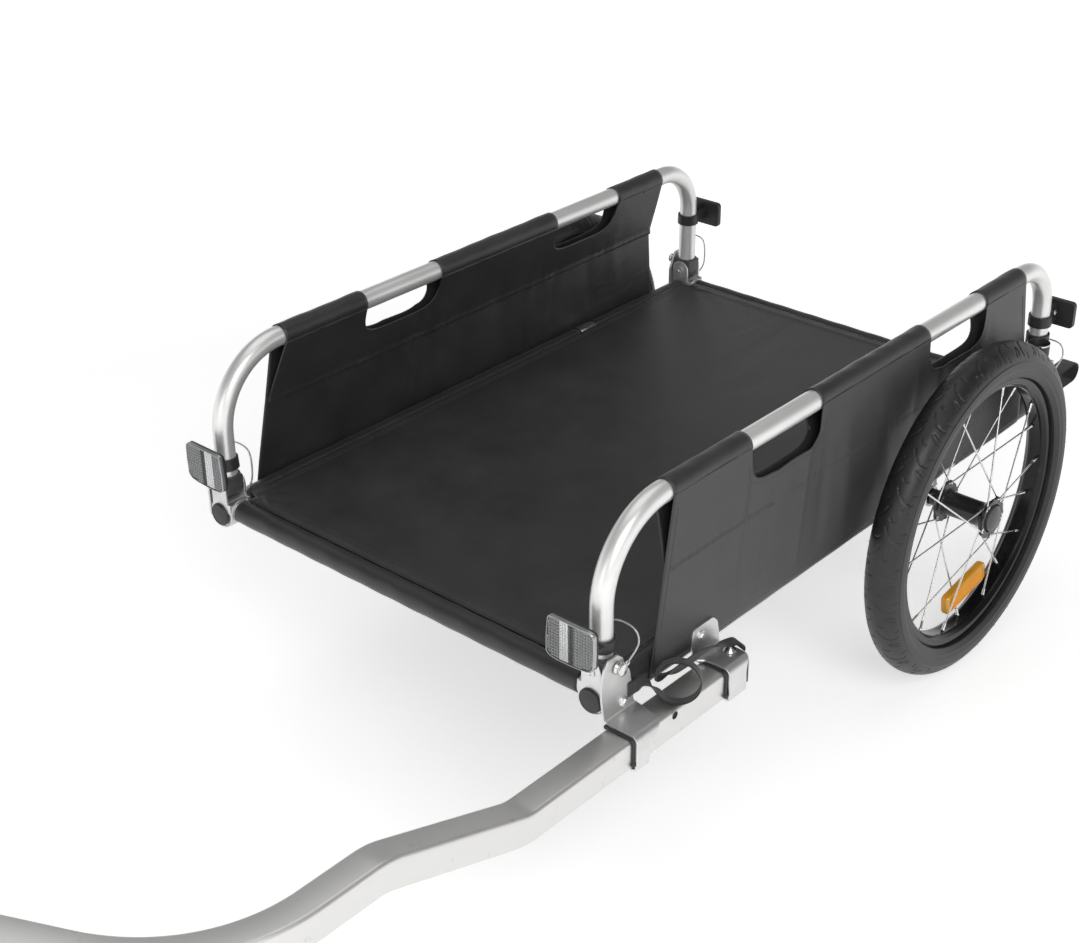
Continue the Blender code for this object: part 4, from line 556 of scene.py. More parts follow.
HOOP_SILVER = satin_hoop()
BAR = bar_finish()
ALUMINIUM = stained("blasted aluminium", (0.60, 0.60, 0.60), 0.4, 0.9, (25, 6, 0.65), (0.35, 0.8),
                    ((0.74, 0.74, 0.735), (0.60, 0.60, 0.60)), (0.3, 0.52), (1600, 3, 0.6), 0.00003, 0.7)
STEEL = bright_steel()
BLACK = moulded()
KNUCKLE_GREY = moulded("dark grey knuckle plastic", 0.045, 0.42, 0.58)
CAP_GREY = moulded("grey cap plastic", 0.06, 0.3, 0.45)
CLOTH = coated_cloth()
WEBBING = webbing_cloth()
RUBBER = tyre_rubber()
RIM = stained("black anodised rim", (0.006, 0.006, 0.006), 0.22, 0.0, (30, 6, 0.7), (0.5, 0.8),
              ((0.006, 0.006, 0.006), (0.020, 0.020, 0.0195)), (0.14, 0.30), (1200, 2), 0.00001,
              Specular_IOR_Level=0.32)
AMBER = clear_plastic("amber reflector plastic", (1.0, 0.46, 0.03), 0.12, 0.0, 0.0, False)
LENS = clear_plastic("clear reflector plastic", (0.9, 0.91, 0.92), 0.1, 0.85)
RED_LENS = clear_plastic("red reflector plastic", (0.75, 0.02, 0.02), 0.12, 0.6)
THREAD = thread_black()
CABLE = coated_cable()

BY_SLOT = {"hoop_silver": HOOP_SILVER, "aluminium": ALUMINIUM, "bar_aluminium": BAR, "steel": STEEL,
           "black_plastic": BLACK, "fabric": CLOTH, "webbing": WEBBING, "tyre": RUBBER, "rim": RIM,
           "cap_grey": CAP_GREY, "amber": AMBER, "lens": LENS, "red_lens": RED_LENS}
for facts in frame["record"]["subparts"]:
    item = frame["nodes"][facts["node"]]
    item.data.materials.clear()
    item.data.materials.append(BY_SLOT[facts["material_slot"]])


# Wheels

TYRE_OUT, TYRE_SECTION = AXLE_Z, 0.023
RIM_LIP, RIM_IN, RIM_HALF = 0.161, 0.149, 0.0135
FLANGE_IN, FLANGE_OUT, FLANGE_THICK = -0.0331, 0.0290, 0.003
SPOKES = 20
SPOKE_CIRCLE, SPOKE_END = 0.0222, 0.1489


# Tread cuts of one block: half width, steps a run, and their places as (along, across)
TREAD_BLOCKS = 28
TREAD_CUTS = ((0.00085, 5, ((0.004, 0.0015), (0.012, 0.006), (0.017, 0.012), (0.0185, 0.0185),
                            (0.0175, 0.0235))),
              (0.0006, 4, ((0.0295, 0.0230), (0.0270, 0.0175), (0.0262, 0.0135), (0.0275, 0.0115),
                           (0.0292, 0.0133), (0.0318, 0.0172), (0.0345, 0.0225))),
              (0.00095, 4, ((0.0385, 0.0030), (0.0408, 0.0058), (0.0412, 0.0098))),
              (0.0007, 4, ((0.0085, 0.0200), (0.0068, 0.0240), (0.0072, 0.0275))))


def groove_depth(u, v):
    """How deep the tread is cut at arc length u and width v: 1 - t^2 (3 - 2 t), where t = (d - 0.55) / 0.75
    is held from 0 to 1 and d is the distance to the nearest short run of a cut, in half widths."""
    period = TAU * TYRE_OUT / TREAD_BLOCKS
    cuts = []
    for side, shift in ((-1, period / 2), (1, 0)):
        for wide, count, line in TREAD_CUTS:
            cut = smooth_run([(along, side * across, 0) for along, across in line], count)[:, :2]
            cuts.append((cut + (shift, 0), wide))
    away = np.full(u.shape, 1.0)
    for cut, wide in cuts:
        for a, b in zip(cut, cut[1:]):
            du = (u - (a[0] + b[0]) / 2 + period / 2) % period - period / 2 + (b[0] - a[0]) / 2
            dv = v - a[1]
            run = b - a
            t = np.clip((du * run[0] + dv * run[1]) / (run @ run), 0, 1)
            away = np.minimum(away, np.hypot(du - t * run[0], dv - t * run[1]) / wide)
    t = np.clip((away - 0.55) / 0.75, 0, 1)
    return 1 - t ** 2 * (3 - 2 * t)


def tyre_surface(x, quick):
    """Carcass r = c + b sin a, w = b cos a, lowered by the tread cuts, with bead ring and moulded line."""
    around, across = (TREAD_BLOCKS * 12, 44) if quick else (TREAD_BLOCKS * 34, 96)
    t = np.arange(around) * TAU / around
    a = np.radians(np.linspace(-40, 220, across))
    centre = TYRE_OUT - TYRE_SECTION
    tt, aa = np.meshgrid(t, a, indexing="ij")
    lift = np.zeros_like(aa)
    from_crown = aa - math.pi / 2
    side = np.degrees(np.abs(from_crown))
    lift += 0.00035 * np.exp(-((side - 78) / 2.2) ** 2) + 0.0005 * np.exp(-((side - 112) / 3.0) ** 2)
    lift -= 0.0004 * np.exp(-((side - 104) / 1.6) ** 2)
    lift -= 0.0014 * groove_depth(tt * TYRE_OUT, from_crown * TYRE_SECTION) * (side < 76)
    radius = TYRE_SECTION + lift
    shape = 1 - 0.025 * np.cos(2 * from_crown) ** 2 * (side > 45)
    r = centre + radius * np.sin(aa)
    w = radius * np.cos(aa) * shape
    bead = 0.0112
    low = [(0.1620, bead), (0.1555, bead), (0.1545, bead - 0.003), (0.1660, 0.0), (0.1545, 0.003 - bead),
           (0.1555, -bead), (0.1620, -bead)]
    r = np.concatenate([r, np.broadcast_to([p[0] for p in low[::-1]], (around, 7))], 1)
    w = np.concatenate([w, np.broadcast_to([p[1] for p in low[::-1]], (around, 7))], 1)
    tt = np.broadcast_to(t[:, None], r.shape)
    return surface(np.stack([x + w, r * np.cos(tt), AXLE_Z + r * np.sin(tt)], -1), (True, True))


def moulding_hairs(x, count=64):
    """Short rubber hairs left by the mould: thin cones leaning out of the shoulders."""
    hairs = []
    for k in range(count):
        t = TAU * (k + 0.35 * RNG.random()) / count
        tilt = math.radians(90 + RNG.choice([-1, 1]) * (48 + 16 * RNG.random()))
        out = np.array([math.cos(tilt), math.sin(tilt) * math.cos(t), math.sin(tilt) * math.sin(t)])
        root = np.array([x, (TYRE_OUT - TYRE_SECTION) * math.cos(t),
                         AXLE_Z + (TYRE_OUT - TYRE_SECTION) * math.sin(t)])
        start = root + out * (TYRE_SECTION - 0.0006)
        bend = np.array([0, -math.sin(t), math.cos(t)]) * 0.0011 * RNG.choice([-1, 1])
        line = [start, start + out * 0.0008 + bend * 0.3, start + out * 0.0014 + bend]
        hairs.append(sweep(line, disc(0.00028, 6), (1, 0.1, 0.2), [1, 0.8, 0.25]))
    return hairs


def rim_surface(x):
    """Box-section rim: lips with a rolled bead, flat brake faces with a fine line, and a wide inner face."""
    w = RIM_HALF
    edge = [(RIM_IN, -w * 0.46), (RIM_IN + 0.0008, -w * 0.66), (RIM_IN + 0.0042, -w + 0.0008),
            (RIM_IN + 0.0060, -w + 0.0003), (RIM_IN + 0.0062, -w + 0.0006), (RIM_IN + 0.0066, -w + 0.0003),
            (RIM_LIP - 0.0012, -w), (RIM_LIP - 0.0002, -w + 0.0004), (RIM_LIP, -w + 0.0011),
            (RIM_LIP - 0.0003, -w + 0.0018), (RIM_LIP - 0.0012, -w + 0.0019), (RIM_IN + 0.0045, -w + 0.0021)]
    mirror = [(r, -h) for r, h in edge[::-1]]
    crown = [(RIM_IN + 0.0002, w * 0.30), (RIM_IN + 0.0003, 0), (RIM_IN + 0.0002, -w * 0.30)]
    return turn(soften(np.array(edge + mirror + crown), 0.0006, 3), (x, 0, AXLE_Z), (1, 0, 0), 240)


def spoke_ends(k, sign):
    """Hub end, rim end and head's side of a spoke, whose flange hole leans away from its rim hole."""
    tip = math.radians(360 * k / SPOKES + 3)
    outboard, leading = k % 2 == 0, k % 4 < 2
    lean = math.radians(62 if leading else -60)
    height = FLANGE_OUT - FLANGE_THICK / 2 if outboard else FLANGE_IN + FLANGE_THICK / 2
    step = 0.0016 if leading else -0.0016
    hole = np.array([0, SPOKE_CIRCLE * math.cos(tip + lean), SPOKE_CIRCLE * math.sin(tip + lean)])
    root = hole + (sign * (height + step), 0, 0)
    aside = sign * (0.003 if outboard else -0.003)
    head = np.array([aside, SPOKE_END * math.cos(tip), SPOKE_END * math.sin(tip)])
    return root, head, hole + (sign * (height - step), 0, 0)


def spoke_set(x, sign):
    """Spokes with elbows and heads, and their nipples."""
    wires, nipples = [], []
    at = np.array([x, 0, AXLE_Z])
    for k in range(SPOKES):
        root, head, far = spoke_ends(k, sign)
        along, through = unit(head - root), unit(root - far)
        line = np.vstack([far - through * 0.0006, far,
                          route([far + through * 0.0002, root, root + along * 0.006], [0.0011],
                                math.radians(12)), head - along * 0.0115])
        wires.append(sweep(line + at, disc(0.001, 10), (0.3, 0.2, 1)))
        wires.append(turn([(0, -0.0009), (0.0013, -0.0008), (0.0019, -0.0003), (0.0017, 0.0001),
                           (0.0009, 0.0003)], far - through * 0.0002 + at, through, 12))
        start = head - along * 0.012
        nipples.append(turn([(0.0010, 0), (0.0015, 0.0003), (0.0017, 0.0010), (0.00172, 0.0085),
                             (0.0021, 0.0092), (0.0022, 0.0112), (0.0020, 0.0118), (0.0010, 0.0120)],
                            start + at, along, 14))
    return wires, nipples


def hub_shell(x, sign):
    """Turned shell: boss, waisted barrel and two flanges."""
    bore = 0.0063
    profile = [(bore, -0.0485), (0.0090, -0.0485), (0.0098, -0.0478), (0.0098, FLANGE_IN - 0.004),
               (0.0118, FLANGE_IN - 0.0005), (0.0195, FLANGE_IN - 0.0002), (0.0200, FLANGE_IN + 0.0002),
               (0.0200, FLANGE_IN + 0.0028), (0.0165, FLANGE_IN + 0.0032), (0.0152, FLANGE_IN + 0.0045),
               (0.0145, FLANGE_IN + 0.0075), (0.0143, -0.010), (0.0143, 0.0075), (0.0146, 0.0155),
               (0.0165, 0.0195), (0.0187, 0.0215), (0.0187, FLANGE_OUT - 0.0032),
               (0.0200, FLANGE_OUT - 0.0028), (0.0200, FLANGE_OUT - 0.0002), (0.0190, FLANGE_OUT),
               (0.0172, FLANGE_OUT), (0.0166, FLANGE_OUT - 0.0005), (0.0165, 0.0245), (bore, 0.0245)]
    return turn(soften(profile, 0.0009, 3), (x, 0, AXLE_Z), (sign, 0, 0), 72)


def flange_plate(x, sign, low, first):
    """Scalloped flange: r = 24.3 + 1.4 e^-(d / 0.13)^2 - 0.7 e^-((d - 0.31) / 0.10)^2 mm, where d is
    the angle to the nearest of its ten drilled spoke holes."""
    t = np.linspace(0, TAU, 200, endpoint=False)
    holes, at = [], []
    for k in range(first, SPOKES, 2):
        root, _, _ = spoke_ends(k, sign)
        angle = math.atan2(root[2], root[1])
        at.append(angle)
        middle_of = (SPOKE_CIRCLE * math.cos(angle), AXLE_Z + SPOKE_CIRCLE * math.sin(angle))
        holes.append(circle(0.0012, middle_of, 12)[::-1])
    near = np.min([np.abs((t - a + math.pi) % TAU - math.pi) for a in at], 0)
    r = 0.0243 + 0.0014 * np.exp(-(near / 0.13) ** 2) - 0.0007 * np.exp(-((near - 0.31) / 0.10) ** 2)
    outline = np.stack([r * np.cos(t), AXLE_Z + r * np.sin(t)], 1)
    ring = np.stack([0.0185 * np.cos(t[::-2]), AXLE_Z + 0.0185 * np.sin(t[::-2])], 1)
    ends = sorted((x + sign * low, x + sign * (low + FLANGE_THICK)))
    return slab(outline, "X", *ends, 0.0004, [ring, *holes])


def push_cap(x, sign):
    """Domed cap of the push button with a ring groove, on its stem."""
    z0 = FLANGE_OUT - 0.0045 + 0.0033
    profile = [(0.0030, -0.0180 + z0), (0.0030, z0), (0.0146, z0), (0.0153, z0 + 0.0004),
               (0.0155, z0 + 0.0012), (0.0154, z0 + 0.0030), (0.0148, z0 + 0.0036), (0.0143, z0 + 0.0035),
               (0.0139, z0 + 0.0037), (0.0125, z0 + 0.0048), (0.0098, z0 + 0.0058), (0.0060, z0 + 0.0065),
               (0, z0 + 0.0068)]
    return turn([(0, -0.0180 + z0)] + profile, (x, 0, AXLE_Z), (sign, 0, 0), 64)


def build_wheel(side):
    """Tyre, rim, hub, spokes, nipples and push cap of one wheel."""
    sign = SIDES[side]
    x = sign * abs(TRACK)
    body = f"wheel_{side}_body"
    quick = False
    piece(f"tyre_with_cut_tread_{side}", [tyre_surface(x, quick)] + ([] if quick else moulding_hairs(x)),
          RUBBER, body, f"tyre_{side}", 50)
    piece(f"rim_box_section_{side}", rim_surface(x), RIM, body, f"rim_{side}", 50)
    wires, nipples = spoke_set(x, sign)
    piece(f"hub_shell_{side}",
          [hub_shell(x, sign), flange_plate(x, sign, FLANGE_IN, 1),
           flange_plate(x, sign, FLANGE_OUT - FLANGE_THICK, 0)], HUB_BLACK, body, f"hub_{side}",
          40)
    piece(f"spokes_{side}", wires, SPOKE_STEEL, body, f"hub_{side}")
    piece(f"spoke_nipples_{side}", nipples, SPOKE_STEEL, body, f"hub_{side}")
    piece(f"push_cap_{side}", push_cap(x, sign), CAP_GREY, f"button_{side}_body", f"wheel_button_{side}")


HUB_BLACK = moulded("gloss black hub", 0.014, 0.16, 0.34)
SPOKE_STEEL = bright_steel()
for side in SIDES:
    build_wheel(side)


# Bed fabric

SLEEVE_R = 0.0122            # middle of the sleeve cloth round a rail
PANEL_OUT = 0.0163           # side cloth outside a lower tube's centre
CLOTH_THICK = 0.0009
HANGER_HALF = 0.0162         # cloth stops this far from the axle hanger's middle
SEAM_Z = 0.3495
RAIL_ENDS = (-0.512, 0.142)
FOOT_ENDS = (-0.5486, 0.1590)
HEM_ANGLE = math.radians(200)  # inner foot of a rail sleeve
WINDOWS = ((-0.391, -0.2715), (-0.067, 0.0525))
WINDOW_LOW = RAIL_Z - 0.042


def panel_lean(z):
    """How far the side cloth stands out from the tube's centre: straight from the rail to the lower tube."""
    t = np.clip((RAIL_Z - z) / (RAIL_Z - PIVOT_Z), 0, 1)
    return SLEEVE_R + (PANEL_OUT - SLEEVE_R) * t


def creases(y, z):
    """Pull folds of the side cloth: narrow ridges across y that fade towards the rail, and a slack wave."""
    height = np.clip((z - LOWER_Z) / (RAIL_Z - LOWER_Z), 0, 1)
    fade = np.clip(height * 4, 0, 1) * np.clip((1 - height) * 3.2, 0, 1)
    total = np.zeros_like(y)
    for where, lean, wide, deep in ((-0.352, -0.24, 0.0055, 0.0019), (-0.326, -0.20, 0.0042, -0.0013),
                                    (-0.297, -0.17, 0.0065, 0.0021), (-0.262, -0.10, 0.010, -0.0014),
                                    (-0.222, 0.05, 0.013, 0.0012), (-0.448, 0.12, 0.016, -0.0008),
                                    (-0.150, 0.15, 0.012, 0.0010), (-0.090, -0.12, 0.008, -0.0014),
                                    (-0.040, -0.15, 0.007, 0.0016), (0.020, 0.10, 0.009, 0.0013),
                                    (0.070, 0.18, 0.011, -0.0010)):
        total += deep * np.exp(-((y - where - lean * (RAIL_Z - 0.07 - z)) / wide) ** 2)
    pucker = 0.00035 * np.sin(TAU * y / 0.0125) * np.exp(-((z - SEAM_Z) / 0.006) ** 2)
    slack = 0.0011 * np.sin(7.1 * y + 0.9) * np.sin(math.pi * height)
    return (total + slack) * fade + pucker


def window_edge(low, high, steps=46):
    """U of a window from its front top corner to its rear one, as (y, z): steep sides and a sagging foot."""
    t = np.linspace(0, math.pi, steps)
    half = (high - low) / 2
    y = (low + high) / 2 - half * np.sign(np.cos(t)) * np.abs(np.cos(t)) ** 0.42
    z = RAIL_Z - (RAIL_Z - WINDOW_LOW) * np.abs(np.sin(t)) ** 0.50
    return np.stack([y, z], 1)


def top_edge(low, high):
    """Upper edge of the side cloth: the rail's height along each sleeve and the windows between them."""
    runs, at = [], low
    for a, b in WINDOWS:
        n = max(6, int((a - at) / 0.004))
        runs.append(np.stack([np.linspace(at, a, n), np.full(n, RAIL_Z)], 1)[:-1])
        runs.append(window_edge(a, b)[:-1])
        at = b
    n = max(6, int((high - at) / 0.004))
    runs.append(np.stack([np.linspace(at, high, n), np.full(n, RAIL_Z)], 1))
    return np.vstack(runs)


def steady(edge, start, end):
    """Foot points for the points of an edge: spread by the edge's length, half drawn to their own y."""
    s = run_length(edge)
    own = (edge[:, 0] - edge[0, 0]) / (edge[-1, 0] - edge[0, 0])
    return start + (end - start) * (0.12 * s / s[-1] + 0.88 * own)


def off_tube(sign, out, y, z):
    """Points that stand out from the middle of a side tube."""
    return np.stack([sign * (TUBE_X + out), y, z], -1)


def on_panel(sign, y, z):
    """Points of the side cloth's outer layer at y and z."""
    return off_tube(sign, panel_lean(z) + creases(y, z), y, z)


def ruled(top, foot_y, foot_z, s):
    """Places y and z at the parts s of straight lines from an upper edge to a foot line."""
    return [top[:, k, None] + (foot - top[:, k])[:, None] * s for k, foot in enumerate((foot_y, foot_z))]


def outer_layer(sign, rows):
    """Outer layer of the side cloth, from its upper edge to its foot line on the lower tube."""
    top = top_edge(*RAIL_ENDS)
    foot_z = LOWER_Z + PANEL_OUT * math.sin(math.radians(-9))
    y, z = ruled(top, steady(top, *FOOT_ENDS), foot_z, np.linspace(0, 1, rows) ** 1.15)
    return surface(on_panel(sign, y, z))


def sleeve_run(sign, low, high):
    """Sleeve over the rail from its inner foot to the outer face, with small wrinkles."""
    n = max(12, int((high - low) / 0.004))
    y, a = np.meshgrid(np.linspace(low, high, n), np.linspace(HEM_ANGLE, 0, 26), indexing="ij")
    ripple = 0.00022 * np.sin(160 * y + 3 * a) * np.sin(a * 0.9) + 0.0002 * np.sin(61 * y)
    r = SLEEVE_R + np.clip(ripple, -0.0002, 0.0004)
    return surface(off_tube(sign, r * np.cos(a), y, RAIL_Z + r * np.sin(a)))


def inner_lean(z):
    """The pocket's inner layer: from under the rail to the seam on the outer layer."""
    foot = (SLEEVE_R * math.cos(HEM_ANGLE), RAIL_Z + SLEEVE_R * math.sin(HEM_ANGLE))
    t = np.clip((foot[1] - z) / (foot[1] - SEAM_Z), 0, 1)
    end = panel_lean(np.array(SEAM_Z)) - 0.0011
    return foot[0] + (end - foot[0]) * t


def pocket_layer(sign):
    """Inner layer of the rail pocket, with the same windows, its upper edge under the rail."""
    top = top_edge(*RAIL_ENDS)
    top[:, 1] = np.minimum(top[:, 1], RAIL_Z + SLEEVE_R * math.sin(HEM_ANGLE))
    s = np.linspace(0, 1, 22)
    y, z = ruled(top, steady(top, RAIL_ENDS[0] - 0.013, RAIL_ENDS[1] + 0.009), SEAM_Z - 0.006, s)
    return surface(off_tube(sign, inner_lean(z) + creases(y, z) * s - 0.0006 * (z < SEAM_Z), y, z))


def round_tube(sign, ends, angles, steps, radius):
    """Cloth round a lower tube, parted at the axle hanger: radius(y, a) from the tube's centre."""
    runs = []
    for low, high in ((ends[0], -HANGER_HALF), (HANGER_HALF, ends[1])):
        y, a = np.meshgrid(np.linspace(low, high, int((high - low) / 0.006)),
                           np.radians(np.linspace(*angles, steps)), indexing="ij")
        r = radius(y, a)
        runs.append(surface(off_tube(sign, r * np.cos(a), y, LOWER_Z + r * np.sin(a))))
    return runs


def lower_wrap(sign):
    """Foot of the side cloth tucked round the outside of the lower tube."""
    return round_tube(sign, FOOT_ENDS, (-9, -118), 16, lambda y,
                      a: PANEL_OUT + 0.0002 * np.sin(90 * y) * np.sin(a))


def stitches(points, over, pitch=0.0036, length=0.0026, thick=0.00022, lift=0.00035):
    """A row of stitches along a path: each is an arch z = h (1 - (2 t - 1)^2) that dips into the cloth."""
    path = even(points, pitch)
    over = np.asarray(over, float)
    if over.ndim == 1:
        over = np.broadcast_to(over, path.shape)
    else:
        own = np.linspace(0, 1, len(over))
        over = np.stack([np.interp(np.linspace(0, 1, len(path)), own, over[:, k]) for k in range(3)], 1)
    made = []
    for a, b, up in zip(path, path[1:], over):
        along = unit(b - a)
        t = np.array([0, 0.2, 0.5, 0.8, 1.0])
        line = a + along * (t[:, None] * length) + up * (lift * (1 - (2 * t[:, None] - 1) ** 2) + 0.00035)
        made.append(sweep(line, disc(thick, 5), up + (0.001, 0.002, 0.003)))
    return made


def side_stitching(sign):
    """Double row at the pocket's seam, rows beside the front and rear hems and round the windows."""
    rows = []
    out = np.array([sign, 0, 0.06])
    for z in (SEAM_Z + 0.0014, SEAM_Z - 0.0014):
        y = np.linspace(-0.5205, 0.1480, 260)
        rows += stitches(on_panel(sign, y, np.full_like(y, z)), out)
    for top, foot in (((RAIL_ENDS[0] + 0.006, RAIL_Z - 0.016), (-0.5335, PIVOT_Z)),
                      ((RAIL_ENDS[1] - 0.006, RAIL_Z - 0.016), (0.1540, PIVOT_Z))):
        s = np.linspace(0, 1, 50)
        y, z = top[0] + (foot[0] - top[0]) * s, top[1] + (foot[1] - top[1]) * s
        rows += stitches(on_panel(sign, y, z), out)
    for a, b in WINDOWS:
        edge = window_edge(a, b, 60)
        mid = (a + b) / 2
        grown = np.stack([mid + (edge[:, 0] - mid) * 1.09, edge[:, 1] - 0.0050], 1)[2:-2]
        rows += stitches(on_panel(sign, *grown.T), out)
    return rows


def thicken(item, depth):
    """Gives a cloth surface its thickness."""
    made = item.modifiers.new("cloth thickness", "SOLIDIFY")
    made.thickness = depth
    made.offset = 0.0
    made.use_even_offset = False


def bend_at_fold(item):
    """Bakes a piece's placement into its mesh."""
    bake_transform(item)


def side_cloth(side):
    """Side cloth of one piece: lower wrap, panel, rail sleeves and the pocket's inner layer."""
    sign = SIDES[side]
    parts = [outer_layer(sign, 56), pocket_layer(sign), *lower_wrap(sign)]
    at = RAIL_ENDS[0]
    for a, b in (*WINDOWS, (RAIL_ENDS[1], None)):
        parts.append(sleeve_run(sign, at, a))
        at = b
    cloth = piece(f"side_cloth_{side}", parts, CLOTH, None, f"side_panel_{side}", 60)
    bend_at_fold(cloth)
    thicken(cloth, CLOTH_THICK)
    thread = piece(f"side_stitching_{side}", side_stitching(sign), THREAD, None, f"side_panel_{side}")
    bend_at_fold(thread)


FLOOR_EDGE, CROSS_END = TUBE_X - 0.006, TUBE_X - 0.0205
FLOOR_TOP = LOWER_Z + math.sqrt(0.0158 ** 2 - 0.006 ** 2)


def floor_height(x, y):
    """Height of the floor cloth: a touch slack between the tubes, with diagonal pulls at the corners."""
    half_y = (LEGS["rear"] - LEGS["front"]) / 2
    mid_y = (LEGS["rear"] + LEGS["front"]) / 2
    a, b = x / FLOOR_EDGE, (y - mid_y) / half_y
    slack = -0.0016 * (1 - np.abs(a) ** 2.5) * (1 - np.abs(b) ** 4)
    pulls = np.zeros_like(x)
    for sx in (-1, 1):
        for sy in (-1, 1):
            u, v = (1 - sx * a) * FLOOR_EDGE, (1 - sy * b) * half_y
            far = np.hypot(u, v)
            angle = np.arctan2(v, u)
            pulls += 0.0006 * np.cos(angle * 15) * np.exp(-(far / 0.085) ** 2) * np.clip(far / 0.03, 0, 1)
    waves = 0.0005 * np.sin(19 * x + 4 * y) * np.sin(7 * y + 1) * (1 - a ** 2) * (1 - b ** 4)
    return FLOOR_TOP - 0.0006 + slack + pulls + waves


def on_floor(x, y):
    """Points of the floor cloth."""
    return np.stack([x, y, floor_height(x, y)], -1)


def floor_grid(count_x, count_y):
    """The floor between the tubes: narrow at the corner fittings and wide between them."""
    front, rear = LEGS["front"] + 0.0085, LEGS["rear"] - 0.0085
    y = np.concatenate([[front, front + 0.0105, front + 0.0155],
                        np.linspace(front + 0.022, rear - 0.022, count_y),
                        [rear - 0.0155, rear - 0.0105, rear]])
    half = np.where((y < front + 0.012) | (y > rear - 0.012), CROSS_END, FLOOR_EDGE)
    x = np.linspace(-1, 1, count_x)[None, :] * half[:, None]
    return surface(on_floor(x, np.broadcast_to(y[:, None], x.shape)))


def cross_wrap(end):
    """Cloth round a cross tube: up from the floor, over the outside and back under to the seam."""
    way = -1 if end == "front" else 1
    y0 = LEGS[end]
    r = 0.0117
    start = math.asin((FLOOR_TOP - 0.0006 - CROSS_Z) / r)
    x, a = np.meshgrid(np.linspace(-CROSS_END, CROSS_END, 110),
                       np.linspace(math.pi - start, -math.radians(150), 34), indexing="ij")
    rr = r + 0.00022 * np.clip(np.sin(130 * x + 2 * a), -0.6, 1)
    ring = surface(np.stack([x, y0 + way * rr * np.cos(a), CROSS_Z + rr * np.sin(a)], -1))
    fx, s = np.meshgrid(np.linspace(-CROSS_END, CROSS_END, 110), np.linspace(0, 1, 6), indexing="ij")
    low = CROSS_Z + r * math.sin(math.radians(-150))
    back = surface(np.stack([fx, y0 + way * r * math.cos(math.radians(150)) - way * 0.020 * s,
                             low + (FLOOR_TOP - 0.0022 - low) * s], -1))
    return [ring, back]


def tube_sleeve(sign):
    """Sleeve of the floor round a lower tube."""
    return round_tube(sign, (LEGS["front"] + 0.0146, LEGS["rear"] - 0.0146), (112, -248), 40,
                      lambda y, a: 0.0150 + 0.00025 * np.clip(np.sin(75 * y + a), -0.5, 1))


def floor_cloth():
    """Floor cloth with its sleeves, and rows of stitches beside every tube."""
    parts = [floor_grid(150, 230)]
    for end in LEGS:
        parts += cross_wrap(end)
    for sign in SIDES.values():
        parts += tube_sleeve(sign)
        y = np.linspace(LEGS["front"] + 0.026, LEGS["rear"] - 0.026, 130)
        y = y[np.abs(y) > HANGER_HALF]
        x = np.full_like(y, sign * FLOOR_EDGE)
        join_strip = np.stack([on_floor(x, y),
                               np.stack([x + sign * 0.0035, y, np.full_like(y, LOWER_Z + 0.01510)], -1)], 1)
        cut = int(np.argmax(y > 0))
        parts += [surface(join_strip[:cut]), surface(join_strip[cut:])]
    cloth = piece("floor_cloth", parts, CLOTH, "frame", "bed_fabric", 60)
    thicken(cloth, CLOTH_THICK)
    rows = []
    up = np.array([0, 0, 1.0])
    for end, way in (("front", 1), ("rear", -1)):
        for shift in (0.019, 0.024):
            x = np.linspace(-0.236, 0.236, 200)
            y = np.full_like(x, LEGS[end] + way * shift)
            rows += stitches(on_floor(x, y), up)
    for sign in SIDES.values():
        for shift in (0.0135, 0.0175):
            y = np.linspace(LEGS["front"] + 0.027, LEGS["rear"] - 0.027, 260)
            x = np.full_like(y, sign * (TUBE_X - shift))
            rows += stitches(on_floor(x, y), up)
    thread = piece("floor_stitching", rows, THREAD, "frame", "bed_fabric")


# Hoops

HOOP_RADIUS = 0.01125


def hoop_line(x):
    """Front leg, rail and rear leg with their bends."""
    foot = PIVOT_Z + 0.0143
    return route([(x, LEGS["front"], foot), (x, LEGS["front"], RAIL_Z), (x, LEGS["rear"], RAIL_Z),
                  (x, LEGS["rear"], foot)], [0.085, 0.060], math.radians(2.5))


def hoop(side):
    """Bent tube of round section."""
    x = SIDES[side] * TUBE_X
    line = hoop_line(x)
    piece(f"bent_hoop_{side}", sweep(line, disc(HOOP_RADIUS, 48), (1, 0.02, 0.01)), HOOP_SILVER,
          f"hoop_{side}_body", f"hoop_{side}", 50)


for side in SIDES:
    side_cloth(side)
    hoop(side)
floor_cloth()


# Frame tubes and plugs

AXLE_HALF = 0.2618           # half the axle tube's length


def tube(centre, low, high, radius, axis, wall=0.0015):
    """Round tube with cut ends: outer and inner faces and their broken edges."""
    inner = radius - wall
    profile = [(radius - 0.0003, low), (radius, low + 0.0003), (radius, high - 0.0003),
               (radius - 0.0003, high), (inner + 0.0002, high), (inner, high - 0.0002), (inner, low + 0.0002),
               (inner + 0.0002, low)]
    return turn(profile, centre, axis, 48)


def end_plug(side, end):
    """Push-in plug: domed face with a shallow ring and a bead at its rim."""
    way = -1 if end == "front" else 1
    mouth = LEGS[end] + way * 0.0130
    f = FIT
    profile = [(0, -0.015), (0.0122, -0.015), (0.0125, -0.0145), (0.0125, f), (0.0129, f + 0.0004),
               (0.0130, f + 0.0012), (0.0130, f + 0.0024), (0.0126, f + 0.0034), (0.0117, f + 0.0041),
               (0.0104, f + 0.00425), (0.0098, f + 0.0039), (0.0094, f + 0.0040), (0, f + 0.0042)]
    piece(f"domed_plug_{end}_{side}", turn(profile, (SIDES[side] * TUBE_X, mouth, LOWER_Z), (0, way, 0), 56),
          BLACK, "frame", f"end_plug_{end}_{side}")


